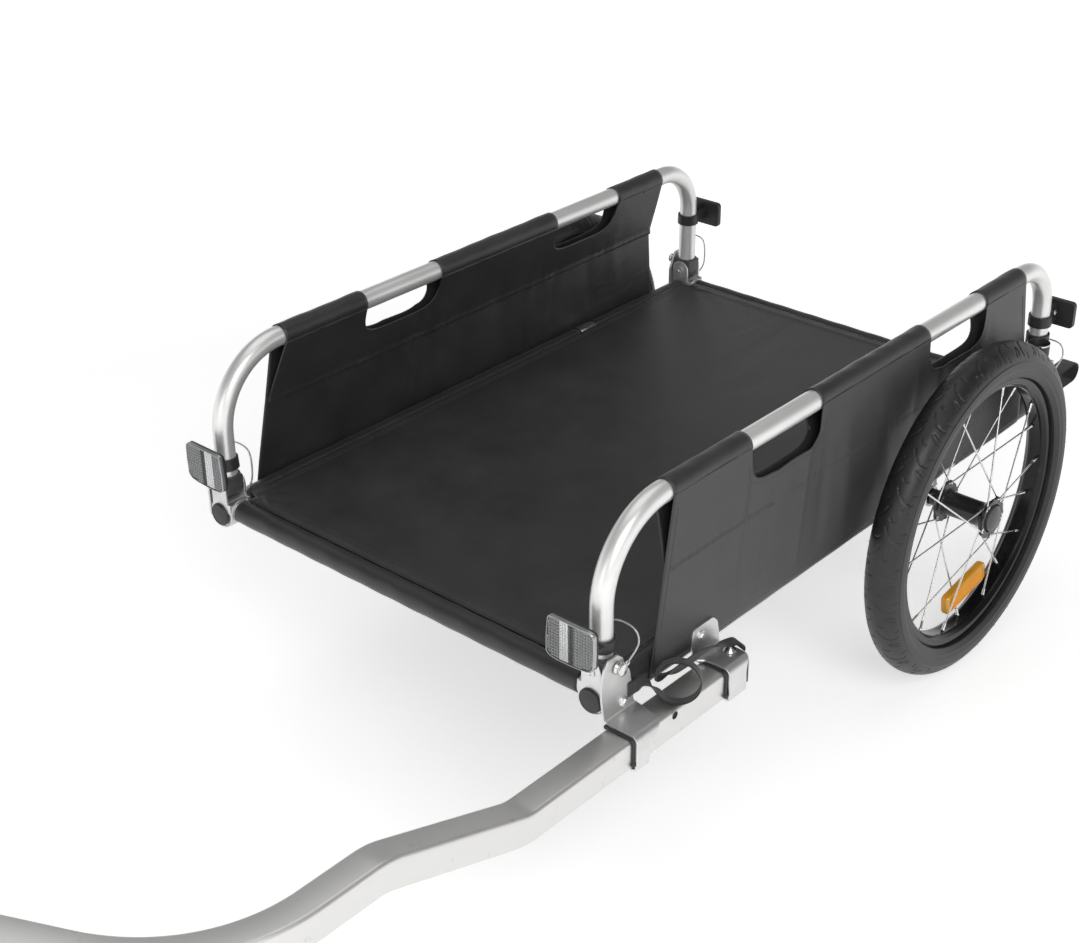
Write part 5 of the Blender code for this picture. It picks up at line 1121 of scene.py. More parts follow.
def frame_tubes():
    """Side tubes with their end plugs, and the two cross bars."""
    for side, sign in SIDES.items():
        piece(f"side_tube_{side}",
              tube((sign * TUBE_X, 0, LOWER_Z), LEGS["front"] - 0.0130, LEGS["rear"] + 0.0130, 0.0143,
                   (0, 1, 0)), ALUMINIUM, "frame", f"lower_tube_{side}")
        for end in LEGS:
            end_plug(side, end)
    reach = CROSS_END + 0.003
    for end, y in LEGS.items():
        piece(f"cross_bar_{end}", tube((0, y, CROSS_Z), -reach, reach, 0.011, (1, 0, 0)), ALUMINIUM, "frame",
              f"cross_tube_{end}")


def axle_beam():
    """Axle tube with its bores, and a hanger block, clamp ring and weld beads at each side."""
    half = AXLE_HALF
    profile = [(0.0124, -half), (0.0127, -half + 0.0003), (0.0127, half - 0.0003), (0.0124, half),
               (0.0066, half), (0.0063, half - 0.0003), (0.0063, half - 0.075), (0.0107, half - 0.0752),
               (0.0107, 0.0752 - half), (0.0063, 0.075 - half), (0.0063, 0.0003 - half), (0.0066, -half)]
    parts = [turn(profile, (0, 0, AXLE_Z), (1, 0, 0), 56)]
    for sign in SIDES.values():
        x = sign * TUBE_X
        low, high = sorted((sign * (TUBE_X - 0.010), sign * (half - 0.0015)))
        web = soften([(-0.0105, AXLE_Z + 0.0070), (0.0105, AXLE_Z + 0.0070), (0.0105, LOWER_Z - 0.004),
                      (-0.0105, LOWER_Z - 0.004)], 0.002, 4)
        parts.append(slab(web, "X", low, high, 0.0008))
        clamp = [(0.0163, -0.0145), (0.0163, 0.0145), (0.0160, 0.0150), (0.0148, 0.0150), (0.0146, 0.0148),
                 (0.0146, -0.0148), (0.0148, -0.0150), (0.0160, -0.0150)]
        parts.append(turn(clamp, (x, 0, LOWER_Z), (0, 1, 0), 64))
        for y in (-0.0105, 0.0105):
            t = np.linspace(0, 1, 26)
            bead = np.stack([low + (high - low) * t, np.full(26, y * 1.04), AXLE_Z + 0.0112 + 0 * t], 1)
            size = 1 + 0.18 * np.sin(TAU * t * 7)
            parts.append(sweep(bead, disc(0.0017, 8), (0, 0, 1), size))
    piece("axle_beam", parts, STEEL, "frame", "axle_tube")


def quick_axle(side):
    """Stub axle with a chamfered tip, a detent groove and the button's way."""
    sign = SIDES[side]
    out, tip = 0.0245, AXLE_HALF - 0.075 - abs(TRACK) + 0.003
    profile = [(0, tip), (0.0042, tip), (0.0050, tip + 0.0008), (0.0060, tip + 0.0022), (0.0060, tip + 0.010),
               (0.0055, tip + 0.0106), (0.0055, tip + 0.0126), (0.0060, tip + 0.0132), (0.0060, out - 0.0004),
               (0.0057, out), (0.0035, out), (0.0033, out - 0.0003), (0.0033, out - 0.022), (0, out - 0.022)]
    piece(f"quick_axle_{side}", turn(profile, (sign * abs(TRACK), 0, AXLE_Z), (sign, 0, 0), 40), STEEL,
          f"axle_{side}_body", f"stub_axle_{side}")


# Corner fittings, knuckles and lock pins

EAR_X, EAR_THICK = TUBE_X + 0.0163, 0.0028      # inner face of the ear plates
CHEEK_GAP, CHEEK_THICK = 0.0114, 0.0030         # leg's centre to a cheek
PIN_Z = PIVOT_Z + 0.0065                        # lock pins


def cheek_outline():
    """Cheek seen from the front, as (x from the tube, z): flat foot, shoulder and round top."""
    t = np.linspace(math.pi, 0, 22)
    arc = np.stack([0.0120 * np.cos(t), PIVOT_Z + 0.0120 * np.sin(t)], 1)
    shoulder = CROSS_Z + 0.011 + 0.0010
    low = LOWER_Z + 0.004
    corners = np.array([(-0.0170, low), (-0.0170, shoulder), (-0.0120, shoulder)])
    return np.vstack([corners, arc, [(0.0120, low)]])


def ear_shape(end):
    """Ear plate seen from the side, as (y from the leg, z)."""
    way = -1 if end == "front" else 1
    top = PIVOT_Z + 0.0193
    shape = [(0.0145, LOWER_Z - 0.009), (0.0145, top), (-0.0040, top), (-0.0150, PIVOT_Z - 0.003),
             (-0.0150, LOWER_Z - 0.009)]
    shape = np.array([(way * a, z) for a, z in shape])
    return soften(shape, 0.004, 7)


def corner(end, side):
    """Corner casting: sleeve on the side tube, boxed foot, two cheeks, the pivot bolt and the ear plate."""
    sign = SIDES[side]
    x, y = sign * TUBE_X, LEGS[end]
    parts = []
    sleeve = [(0.0146, -0.0134), (0.0163, -0.0136), (0.0165, -0.0130), (0.0165, 0.0130), (0.0163, 0.0136),
              (0.0146, 0.0134)]
    parts.append(turn(soften(sleeve, 0.0006, 3), (x, y, LOWER_Z), (0, 1, 0), 64))
    for way in (-1, 1):
        near, far = sorted((y + way * CHEEK_GAP, y + way * (CHEEK_GAP + CHEEK_THICK)))
        outline = cheek_outline() * (sign, 1) + (x, 0)
        parts.append(slab(outline, "Y", near, far, 0.0007))
        head = (x, y + way * (CHEEK_GAP + CHEEK_THICK), PIVOT_Z)
        parts.append(turn([(0, 0), (0.0043, 0), (0.0048, 0.0004), (0.0046, 0.0012), (0.0030, 0.0015),
                           (0.0026, 0.0015), (0.0022, 0.0009), (0, 0.0009)], head, (0, way, 0), 24))
    bolt = [(0.0030, -CHEEK_GAP - 0.002), (0.0030, CHEEK_GAP + 0.002)]
    parts.append(turn([(0, bolt[0][1]), *bolt, (0, bolt[1][1])], (x, y, PIVOT_Z), (0, 1, 0), 24))
    low, high = LOWER_Z + 0.004, CROSS_Z + 0.0120
    inner, outer = sorted((sign * (TUBE_X - 0.0170), sign * (TUBE_X - 0.0050)))
    foot = soften([(inner, y - 0.0120), (outer, y - 0.0120), (outer, y + 0.0120), (inner, y + 0.0120)],
                  0.0015, 3)
    parts.append(slab(foot, "Z", low, high - 0.0022, 0.0010))
    socket = [(0.0113, 0), (0.0128, 0.0), (0.0131, 0.0004), (0.0131, 0.0024), (0.0113, 0.0030)]
    parts.append(turn(socket, (sign * (TUBE_X - 0.0176), y, CROSS_Z), (sign, 0, 0), 48))
    piece(f"corner_casting_{end}_{side}", parts, ALUMINIUM, "frame", f"corner_fitting_{end}_{side}")
    if (end, side) != ("front", "left"):
        hole = circle(0.0034, (y, PIN_Z), 24)[::-1]
        near, far = sorted((sign * EAR_X, sign * (EAR_X + EAR_THICK)))
        ear = [slab(ear_shape(end) + (y, 0), "X", near, far, 0.0006, [hole])]
        ear.append(turn([(0, 0), (0.0042, 0), (0.0042, 0.0015), (0.0036, 0.0024), (0.0020, 0.0027),
                         (0, 0.0027)], (sign * (EAR_X + EAR_THICK), y, LOWER_Z + 0.0005), (sign, 0, 0), 24))
        piece(f"ear_plate_{end}_{side}", ear, ALUMINIUM, "frame", f"corner_fitting_{end}_{side}")


def knuckle(end, side):
    """Moulded knuckle: round foot between the cheeks, square shoulders and a low seat for the hoop."""
    sign = SIDES[side]
    x, y = sign * TUBE_X, LEGS[end]
    top = PIVOT_Z + 0.0123
    t = np.linspace(math.pi, TAU, 22)
    arc = np.stack([x + 0.0125 * np.cos(t), PIVOT_Z + 0.0125 * np.sin(t)], 1)
    outline = np.vstack([arc, [(x + 0.0125, top + 0.0008), (x - 0.0125, top + 0.0008)]])
    hole = np.stack([x + 0.0033 * np.cos(-t * 2), PIVOT_Z + 0.0033 * np.sin(-t * 2)], 1)[:-1]
    parts = [slab(outline, "Y", y - 0.0111, y + 0.0111, 0.0009, [hole])]
    collar = [(0.0100, 0.0001), (0.0134, 0.0001), (0.0139, 0.0005), (0.0139, 0.0013), (0.0135, 0.0017),
              (0.0112, 0.0017)]
    parts.append(turn(collar, (x, y, top), (0, 0, 1), 56))
    parts.append(turn([(0, 0), (0.0093, 0), (0.0093, 0.024), (0.0085, 0.0248), (0, 0.0250)], (x, y, top),
                      (0, 0, 1), 40))
    piece(f"moulded_knuckle_{end}_{side}", parts, KNUCKLE_GREY, f"hoop_{side}_body", f"knuckle_{end}_{side}")


def cable_line(end, side):
    """Line of the pin's cable: from the pin's head up and over to the back cheek."""
    sign, y = SIDES[side], LEGS[end]
    z = PIN_Z
    face = EAR_X + EAR_THICK + FIT
    cheek = 0.0111 + FIT + 0.0030 + FIT
    outer_x, inner_x = face + 0.0032, TUBE_X - 0.0120
    back, crown = cheek + 0.0105, PIVOT_Z + 0.0365
    stations = [(outer_x, 0.0068, z), (outer_x, 0.0128, z + 0.003),
                (outer_x + 0.001, back, z + 0.0365 * 0.45), (EAR_X, back, crown),
                (inner_x + 0.004, back, crown - 0.003), (inner_x - 0.001, back - 0.002, PIVOT_Z + 0.006),
                (inner_x + 0.003, cheek + 0.005, PIVOT_Z - 0.009),
                (inner_x + 0.004, cheek + 0.0003, PIVOT_Z - 0.009)]
    return smooth_run([(sign * a, y + b, c) for a, b, c in stations], 7)


def lock_pin(end, side):
    """Zinc-plated pin with a waisted head, and its cable, crimped at both ends."""
    sign, y = SIDES[side], LEGS[end]
    z = PIN_Z
    nose, face = TUBE_X + 0.0125 + FIT, EAR_X + EAR_THICK + FIT
    n = face - nose
    profile = [(0, 0), (0.0022, 0), (0.0030, 0.0010), (0.0030, n - 0.0004), (0.0050, n), (0.0062, n + 0.0002),
               (0.0065, n + 0.0008), (0.0065, n + 0.0016), (0.0058, n + 0.0024), (0.0052, n + 0.0030),
               (0.0052, n + 0.0042), (0.0058, n + 0.0050), (0.0062, n + 0.0058), (0.0060, n + 0.0072),
               (0.0048, n + 0.0079), (0, n + 0.0080)]
    pin = [turn(profile, (sign * nose, y, z), (sign, 0, 0), 40)]
    line = cable_line(end, side)
    first = unit(line[1] - line[0])
    pin.append(turn([(0, -0.0002), (0.0021, -0.0002), (0.0023, 0.0004), (0.0023, 0.0046), (0.0019, 0.0054),
                     (0.0011, 0.0056)], line[0], first, 20))
    piece(f"turned_pin_{end}_{side}", pin, STEEL, f"lock_pin_{end}_{side}_body", f"lock_pin_{end}_{side}")
    cable = piece(f"lanyard_{end}_{side}", sweep(line, disc(0.0010, 12), (0.2, 1, 0.1)), CABLE, None,
                  f"pin_cable_{end}_{side}")
    last = unit(line[-1] - line[-2])
    crimp = piece(f"lanyard_crimp_{end}_{side}",
                  turn([(0.0011, -0.0052), (0.0020, -0.0048), (0.0023, -0.0040), (0.0023, -0.0006),
                        (0.0020, 0), (0, 0)], line[-1], last, 20), STEEL, "frame", f"pin_cable_{end}_{side}")
    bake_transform(cable)


frame_tubes()
axle_beam()
for side in SIDES:
    quick_axle(side)
    for end in LEGS:
        corner(end, side)
        knuckle(end, side)
        lock_pin(end, side)


# Tow bar and receivers

BAR_X, BAR_Z, BAR_HALF = TUBE_X + 0.0356, LOWER_Z - 0.0365, 0.016
BAR_CORNER = 0.0045          # round of the bar's outer edges
PIVOT_Y = -0.446
CHANNEL_TOP = BAR_Z + BAR_HALF + 0.0022
CHANNEL_WALL = BAR_X + BAR_HALF + 0.0022
PLATE = 0.0025


def folded(corners, radii, reach, thick=PLATE):
    """Folded sheet metal: its line (x, z) has round bends, and reach gives the two cut edges in y along it.
    P(s, k) = c(s) + y_k(s) + b_k n(s), where k runs round a thin section with broken edges."""
    line = route([(a, 0, b) for a, b in corners], radii, math.radians(7))
    dense = even(line, 0.0011)
    s = run_length(dense)
    at, low, high = np.array(reach).T
    low, high = np.interp(s, at, low), np.interp(s, at, high)
    along = unit(np.gradient(dense, axis=0))
    normal = np.cross(along, (0, 1, 0))
    h, e = thick / 2, 0.0005
    section = [(0, e, -h), (0, 0, -h + e), (0, 0, h - e), (0, e, h), (1, -e, h), (1, 0, h - e),
               (1, 0, -h + e), (1, -e, -h)]
    rows = []
    for which, inset, out in section:
        y = np.where(which == 0, low, high) + inset
        rows.append(dense + np.stack([0 * y, y, 0 * y], 1) + normal * out)
    return surface(np.stack(rows, 1), (False, True), caps=True)


def hex_bolt(place, axis, across, height, flange=0.0):
    """Hexagon head with a chamfered crown, on a flange if asked."""
    t = np.arange(6) * TAU / 6
    r = across / math.sqrt(3)
    parts = []
    axis = np.asarray(axis, float)
    e = unit(np.cross(axis, (0.0, 0.3, 1.0)))
    f = np.cross(axis, e)
    ring = np.cos(t)[:, None] * e + np.sin(t)[:, None] * f
    levels = [(0, 1), (height * 0.82, 1), (height, 0.86)]
    points = np.stack([np.asarray(place) + axis * h + ring * r * k for h, k in levels])
    parts.append(surface(points, (False, True), caps=True))
    if flange:
        parts.append(turn([(0, 0), (flange, 0), (flange, 0.0008), (r * 0.95, 0.0018), (0, 0.0018)], place,
                          axis, 36))
    return parts


# Middles of the receivers' web, flange, outer wall and lower lip
WEB_X, FLANGE_Z = EAR_X + PLATE / 2, CHANNEL_TOP + PLATE / 2
WALL_X, LIP_Z = CHANNEL_WALL + PLATE / 2, BAR_Z - BAR_HALF - FIT - PLATE / 2


def front_receiver():
    """Peaked web on the corner fitting, its flange over the bar, the cut-back outer wall and a lip below."""
    front = LEGS["front"] - 0.0157
    peak = PIVOT_Z + 0.0193
    down, over, side = peak - FLANGE_Z, WALL_X - WEB_X, FLANGE_Z - LIP_Z
    turned = down + over
    reach = [(0, 0.0040, 0.0155), (0.0008, 0.0022, 0.0178), (0.0025, 0.0010, 0.0200),
             (0.0073, -0.0020, 0.0252), (0.0150, -0.0045, 0.0268), (0.0170, -0.0050, 0.0275),
             (0.0205, -0.0055, 0.0315), (0.0243, -0.0060, 0.0345), (0.0300, -0.0062, 0.0360),
             (0.0363, -0.0060, 0.0370), (0.0473, -0.0045, 0.0400), (0.0583, -0.0025, 0.0405),
             (0.0640, -0.0012, 0.0425), (down - 0.001, -0.0005, 0.0450), (down + 0.004, 0, 0.0448),
             (down + 0.010, 0, 0.0435), (turned - 0.012, 0, 0.0395), (turned - 0.006, 0, 0.0372),
             (turned - 0.001, 0, 0.0340), (turned + 0.004, 0, 0.0285), (turned + 0.012, 0, 0.0195),
             (turned + 0.016, 0, 0.0190), (turned + side + 0.018, 0, 0.0190)]
    reach = [(s, front + a, front + b) for s, a, b in reach]
    parts = [folded([(WEB_X, peak), (WEB_X, FLANGE_Z), (WALL_X, FLANGE_Z), (WALL_X, LIP_Z), (BAR_X, LIP_Z)],
                    [0.0036, 0.0060, 0.0040], reach)]
    face = EAR_X + PLATE
    parts += hex_bolt((face, LEGS["front"] + 0.0106, LOWER_Z - 0.006), (1, 0, 0), 0.0078, 0.0034, 0.0054)
    pin_face = (face, LEGS["front"], PIN_Z)
    parts.append(turn([(0.0034, 0), (0.0049, 0), (0.0049, 0.0001), (0.0034, 0.0001)], pin_face, (1, 0, 0),
                      30))
    piece("folded_front_receiver", parts, ALUMINIUM, "frame", "receiver_front", 30)
    liner("front", front - 0.0020, front + 0.0180)


def rear_receiver():
    """The rear channel, drawn back at its outer corner, with its bolted bracket and the pivot bolt."""
    front, rear = PIVOT_Y - 0.0360, PIVOT_Y + 0.0120
    lip = PIVOT_Y - 0.0275
    peak = LOWER_Z + 0.0190
    down, over, side = peak - FLANGE_Z, WALL_X - WEB_X, FLANGE_Z - LIP_Z
    turned = down + over
    reach = [(0, front + 0.0040, front + 0.0290), (0.0006, front + 0.0012, front + 0.0308),
             (0.0020, front - 0.0012, front + 0.0325), (0.0076, front - 0.0025, front + 0.0376),
             (0.0197, front - 0.0025, front + 0.0404), (down - 0.002, front - 0.0010, front + 0.0430),
             (down + 0.008, lip - 0.0010, rear - 0.0020), (down + over * 0.5, lip, rear - 0.0025),
             (turned - 0.008, lip, rear - 0.0032), (turned - 0.003, lip, rear - 0.0058),
             (turned + 0.002, lip, rear - 0.0105), (turned + 0.010, lip, rear - 0.0115),
             (turned + side - 0.006, lip + 0.002, rear - 0.0100),
             (turned + side + 0.004, lip + 0.004, rear - 0.0100),
             (turned + side + 0.034, lip + 0.004, rear - 0.0100)]
    parts = [folded([(WEB_X, peak), (WEB_X, FLANGE_Z), (WALL_X, FLANGE_Z), (WALL_X, LIP_Z),
                     (BAR_X - BAR_HALF, LIP_Z)], [0.0036, 0.0070, 0.0040], reach)]
    face = EAR_X + PLATE
    parts += hex_bolt((face, front + 0.011, LOWER_Z + 0.007), (1, 0, 0), 0.0078, 0.0034, 0.0056)
    piece("folded_rear_receiver", parts, ALUMINIUM, "frame", "receiver_rear", 30)
    liner("rear", lip - 0.0022, rear - 0.0040)
    head_low = CHANNEL_TOP + PLATE + FIT
    foot = BAR_Z - BAR_HALF - FIT - PLATE - FIT
    bolt = [turn([(0, head_low), (0.0064, head_low), (0.0070, head_low + 0.0004), (0.0070, head_low + 0.0012),
                  (0.0062, head_low + 0.0022), (0.0050, head_low + 0.0036), (0.0034, head_low + 0.0050),
                  (0.0030, head_low + 0.0055), (0.0026, head_low + 0.0055), (0.0024, head_low + 0.0032),
                  (0, head_low + 0.0030)], (BAR_X, PIVOT_Y, 0), (0, 0, 1), 48),
            turn([(0, foot - 0.0040), (0.0040, foot - 0.0040), (0.0040, head_low), (0, head_low)],
                 (BAR_X, PIVOT_Y, 0), (0, 0, 1), 32)]
    bolt += hex_bolt((BAR_X, PIVOT_Y, foot), (0, 0, -1), 0.0118, 0.0055, 0.0070)
    piece("button_head_pivot", bolt, STEEL, "frame", "bar_pivot_bolt", 30)


def liner(which, start, end):
    """Plastic strip over the bar and down its outer side, with a rolled lip and a bead at both front ends."""
    near, level = BAR_X + BAR_HALF + FIT, BAR_Z + BAR_HALF + FIT
    mid = 0.0008
    corners = [(BAR_X - BAR_HALF, level + mid), (near + mid, level + mid),
               (near + mid, BAR_Z - BAR_HALF * 0.7)]
    parts = [folded(corners, [0.0040], [(0, start + 0.0012, end), (1, start + 0.0012, end)], 0.0015)]
    line = route([(a, start + 0.0008, b) for a,
                  b in [(BAR_X - BAR_HALF - 0.001, level + 0.0013), (near + 0.0012, level + 0.0013),
                        (near + 0.0012, BAR_Z - BAR_HALF * 0.72)]], [0.0042], math.radians(8))
    line = even(line, 0.0011)
    corner_at = np.argmin(np.linalg.norm(line - (near, start + 0.0008, level), axis=1))
    grow = 1 + 0.55 * np.exp(-((np.arange(len(line)) - corner_at) / 2.4) ** 2)
    parts.append(sweep(line, disc(0.0012, 14), (0, 1, 0.01), grow))
    t = np.linspace(-math.pi / 2, math.pi / 2, 13)
    for end, radius in ((line[0] + (0.0020, 0, 0), 0.0024), (line[-1] + (0.0001, 0, 0.0020), 0.0026)):
        ball = [(max(0.0, radius * math.cos(a)), radius * math.sin(a)) for a in t]
        parts.append(turn(ball, tuple(end), (0, 1, 0), 24))
    piece(f"beaded_liner_{which}", parts, BLACK, "frame", f"liner_{which}", 40)


def bar_line():
    """Centre line of the tow bar from its pivot bolt to its nose."""
    foot = PIVOT_Y - 0.311
    crest = foot - 0.163
    turn_y = crest - 0.174
    inner, high = BAR_X - 0.214, BAR_Z + 0.058
    nose = turn_y - 0.146 - 0.120
    return route([(BAR_X, PIVOT_Y, BAR_Z), (BAR_X, foot, BAR_Z), (BAR_X, crest, high), (BAR_X, turn_y, high),
                  (inner, turn_y - 0.146, high + 0.0465), (inner, nose, high + 0.0465)],
                 [0.070, 0.070, 0.196, 0.100], math.radians(2))


def tow_bar():
    """Round-cornered square swept along the bar's line, its round tail and open nose; the bar is not cut at
    the side hole, which is a lip ring round a near-black disc of painted shade.
    """
    line = bar_line()
    outer = sweep(line, bar_section(2 * BAR_HALF, 2 * BAR_HALF, BAR_CORNER, 6), (0, 0, 1))
    outer["polys"] = []
    inner_line = line.copy()
    inner_line[0] = (BAR_X, PIVOT_Y - 0.028, BAR_Z)
    inner = sweep(inner_line, bar_section(0.028, 0.028, 0.003, 6), (0, 0, 1))
    inner["polys"] = inner["polys"][:1]
    n = len(bar_section(2 * BAR_HALF, 2 * BAR_HALF, BAR_CORNER, 6))
    rim = np.stack([outer["verts"].reshape(-1, n, 3)[-1], inner["verts"].reshape(-1, n, 3)[-1]])
    tail_profile = [(0, -BAR_HALF), (BAR_HALF - BAR_CORNER, -BAR_HALF),
                    (BAR_HALF - 0.0013, -BAR_HALF + 0.0013), (BAR_HALF, BAR_CORNER - BAR_HALF),
                    (BAR_HALF, BAR_HALF - BAR_CORNER), (BAR_HALF - 0.0013, BAR_HALF - 0.0013),
                    (BAR_HALF - BAR_CORNER, BAR_HALF), (0, BAR_HALF)]
    parts = [outer, inner, surface(rim, (False, True)),
             turn(tail_profile, (BAR_X, PIVOT_Y, BAR_Z), (0, 0, 1), 64)]
    hole_y, hole_z = PIVOT_Y - 0.107, BAR_Z + 0.0105
    lip = turn([(0.0040, 0.0157), (0.0044, 0.0161), (0.0047, 0.0160), (0.0048, 0.0159)],
               (BAR_X, hole_y, hole_z), (1, 0, 0), 36)
    # The disc named bore is painted shade: a near-black sheet across the lip, where the dark inside of the
    # hole would be.
    bore = turn([(0, 0.01605), (0.0041, 0.01605)], (BAR_X, hole_y, hole_z), (1, 0, 0), 36)
    parts += [lip, (bore, 1)]
    piece("anodised_tow_bar", parts, [BAR, PAINTED_HOLE_SHADE], "tow_bar_body", "tow_bar", 32)


# Near-black plastic for the disc of painted shade in the tow bar's side hole.
PAINTED_HOLE_SHADE = moulded("painted shade in hole", 0.004, 0.8, 0.9)
front_receiver()
rear_receiver()
tow_bar()


# Reflectors

# Lit and shaded copies of one prism plastic: the near-white one is painted highlight and the near-black one
# is painted shade, both laid on prism faces chosen below.
PAINTED_HIGHLIGHT_PRISM = clear_plastic("prism plastic with painted highlight", (0.90, 0.91, 0.92), 0.20, 0.0, 0.7, False)
PAINTED_SHADE_PRISM = clear_plastic("prism plastic with painted shade", (0.09, 0.09, 0.092), 0.18, 0.0, 0.5, False)
CLEAR_RIM = clear_plastic("clear rim plastic", (0.50, 0.51, 0.52), 0.10, 0.25, 0.5, False)


def lozenge(width, height, corner=0.005):
    """Rounded oblong, centred."""
    return bar_section(width, height, corner, 7)


def inside(outline, a, b):
    """Whether points lie in a convex outline that runs counter-clockwise."""
    ok = np.ones(np.shape(a), bool)
    for p, q in zip(outline, np.roll(outline, -1, 0)):
        ok &= (q[0] - p[0]) * (b - p[1]) - (q[1] - p[1]) * (a - p[0]) > 0
    return ok


def prisms(outline, pitch, height, lean):
    """Rows of small four-sided prisms on a flat outline: each has a peak, drawn aside by lean(a, b).

    Returns their points and triangles as a fan of four faces a cell, in the flat's (a, b, rise).
    """
    reach = np.abs(outline).max(0)
    na, nb = int(reach[0] / pitch[0]) + 1, int(reach[1] / pitch[1]) + 1
    a, b = np.meshgrid((np.arange(-na, na) + 0.5) * pitch[0], (np.arange(-nb, nb) + 0.5) * pitch[1],
                       indexing="ij")
    a, b = a.ravel(), b.ravel()
    ha, hb = pitch[0] / 2, pitch[1] / 2
    keep = np.ones(len(a), bool)
    for da, db in ((-ha, -hb), (ha, -hb), (ha, hb), (-ha, hb)):
        keep &= inside(outline, a + da, b + db)
    a, b = a[keep], b[keep]
    la, lb = lean(a, b)
    corners = [np.stack([a + da, b + db, 0 * a], 1) for da,
               db in ((-ha, -hb), (ha, -hb), (ha, hb), (-ha, hb))]
    peak = np.stack([a + la * ha, b + lb * hb, 0 * a + height], 1)
    verts = np.stack(corners + [peak], 1).reshape(-1, 3)
    base = np.arange(len(a))[:, None] * 5
    tris = [base + np.array(t) for t in ((0, 1, 4), (1, 2, 4), (2, 3, 4), (3, 0, 4))]
    return verts, [list(map(int, t)) for group in tris for t in group]


def facets(outline, pitch, height, lean, frame_of, faces=(0, 1, 2, 3), span=None):
    """Chosen faces of the prisms in a span of a, carried by frame_of(points) into place."""
    verts, polys = prisms(outline, pitch, height, lean)
    count = len(verts) // 5
    a = verts.reshape(-1, 5, 3)[:, :4, 0].mean(1)
    keep = np.ones(count, bool) if span is None else (a >= span[0]) & (a < span[1])
    chosen = [polys[f * count + k] for f in faces for k in range(count) if keep[k]]
    used = np.unique(np.array(chosen))
    place = {int(u): n for n, u in enumerate(used)}
    verts = verts[used]
    return patch(frame_of(verts), [[place[v] for v in face] for face in chosen], verts[:, :2])


def leg_band(x, y, z, lean=0.0, length=0.0136, inner=0.0116, outer=0.0138):
    """Moulded band round a leg with soft edges, leaning by the angle lean."""
    h = length / 2
    profile = [(inner, -h), (outer - 0.0005, -h), (outer, -h + 0.0005), (outer, h - 0.0005),
               (outer - 0.0005, h), (inner, h)]
    return [turn(profile, (x, y, z), (-math.sin(lean), 0, math.cos(lean)), 48)]


def front_reflector(side):
    """Clear reflector of prism bands in a deep black dish, on an arm and a band round the front leg; some
    faces of each prism carry painted shade and the others painted highlight.
    """
    sign = SIDES[side]
    leg_x, leg_y = sign * TUBE_X, LEGS["front"]
    band_z, z = PIVOT_Z + 0.0275, PIVOT_Z + 0.0375
    cx, face = sign * (TUBE_X - 0.008), LEGS["front"] - 0.0357
    corners = [(-0.0285, -0.0190), (-0.0235, -0.0222), (-0.0140, -0.0232), (0.0, -0.0230), (0.0135, -0.0222),
               (0.0235, -0.0205), (0.0283, -0.0160), (0.0290, 0.0), (0.0288, 0.0222), (-0.0262, 0.0222),
               (-0.0283, 0.0)]
    rounds = [0.004, 0.006, 0.02, 0.03, 0.02, 0.006, 0.006, 0.05, 0.0055, 0.0045, 0.05]
    traced = soften([(sign * a, b) for a, b in corners][::sign], rounds[::sign], 5)
    shape = traced + (cx, z)
    dish = [slab(shape, "Y", face + 0.0044, face + 0.0070, 0.0007),
            slab(traced * (0.90, 0.88) + (cx, z), "Y", face + 0.0063, face + 0.0105, 0.0016)]
    arm = slab(bar_section(0.0120, 0.0116, 0.0016, 4) + (leg_x, band_z), "Y", face + 0.0095, leg_y - 0.0125,
               0.0008)
    band = leg_band(leg_x, leg_y, band_z, -sign * 0.10)
    screw = turn([(0, -0.0196), (0.0017, -0.0196), (0.0022, -0.0190), (0.0022, -0.0130), (0, -0.0130)],
                 (leg_x + sign * 0.0092, leg_y, band_z + 0.0012), (0, 1, 0), 24)
    boss = turn([(0, -0.0172), (0.0034, -0.0172), (0.0038, -0.0166), (0.0038, -0.0100), (0, -0.0100)],
                (leg_x + sign * 0.0086, leg_y, band_z + 0.0012), (0, 1, 0), 24)
    piece(f"front_reflector_dish_{side}", dish + [arm, boss, (screw, 1)] + band, [BLACK, STEEL],
          f"hoop_{side}_body", f"front_reflector_back_{side}", 30)
    inner = traced * (0.962, 0.950)
    cell = 0.0016

    def lean(a, b):
        """Peaks drawn to the side in turn, so that neighbouring cells answer the light unlike."""
        ribs = np.where((a / cell) % 2 < 1, 0.5, -0.5)
        return ribs, 0.35 * np.where((b / cell) % 2 < 1, 1.0, -1.0)

    def carried(points):
        return np.stack([cx + points[:, 0], face + 0.0009 - points[:, 2], z + points[:, 1]], 1)

    def rung(outline, depth):
        return np.stack([cx + outline[:, 0], np.full(len(outline), face + depth), z + outline[:, 1]], 1)

    def lid(outline, depth):
        return patch(rung(outline, depth), [list(range(len(outline)))], outline)

    edge = np.stack([rung(traced, 0.0041), rung(traced, 0.0009), rung(traced * (0.985, 0.98), 0.0001),
                     rung(inner, 0.00005), rung(inner, 0.0009)])
    cells = []
    # In each band the faces named by dull take the painted shade copy, and the remaining faces take the
    # painted highlight copy.
    for start, stop, dull in ((0.0, 0.27, (0, 1, 3)), (0.27, 0.47, (0,)), (0.47, 0.60, (0, 1, 2)),
                              (0.60, 1.0, (0, 1))):
        span = sorted((sign * (start - 0.5) * 0.0548, sign * (stop - 0.5) * 0.0548))
        for faces, which in ((dull, 2), (tuple({0, 1, 2, 3} - set(dull)), 0)):
            cells.append((facets(inner, (cell, cell), cell / 2, lean, carried, faces, span), which))
    # The flat behind the cells takes the painted shade copy.
    piece(f"prism_lens_{side}", [(surface(edge, (False, True)), 1), (lid(inner, 0.00092), 2),
                                 (lid(traced, 0.0041), 1)] + cells, [PAINTED_HIGHLIGHT_PRISM, CLEAR_RIM, PAINTED_SHADE_PRISM],
          f"hoop_{side}_body", f"front_reflector_lens_{side}", 12, 0.000001)


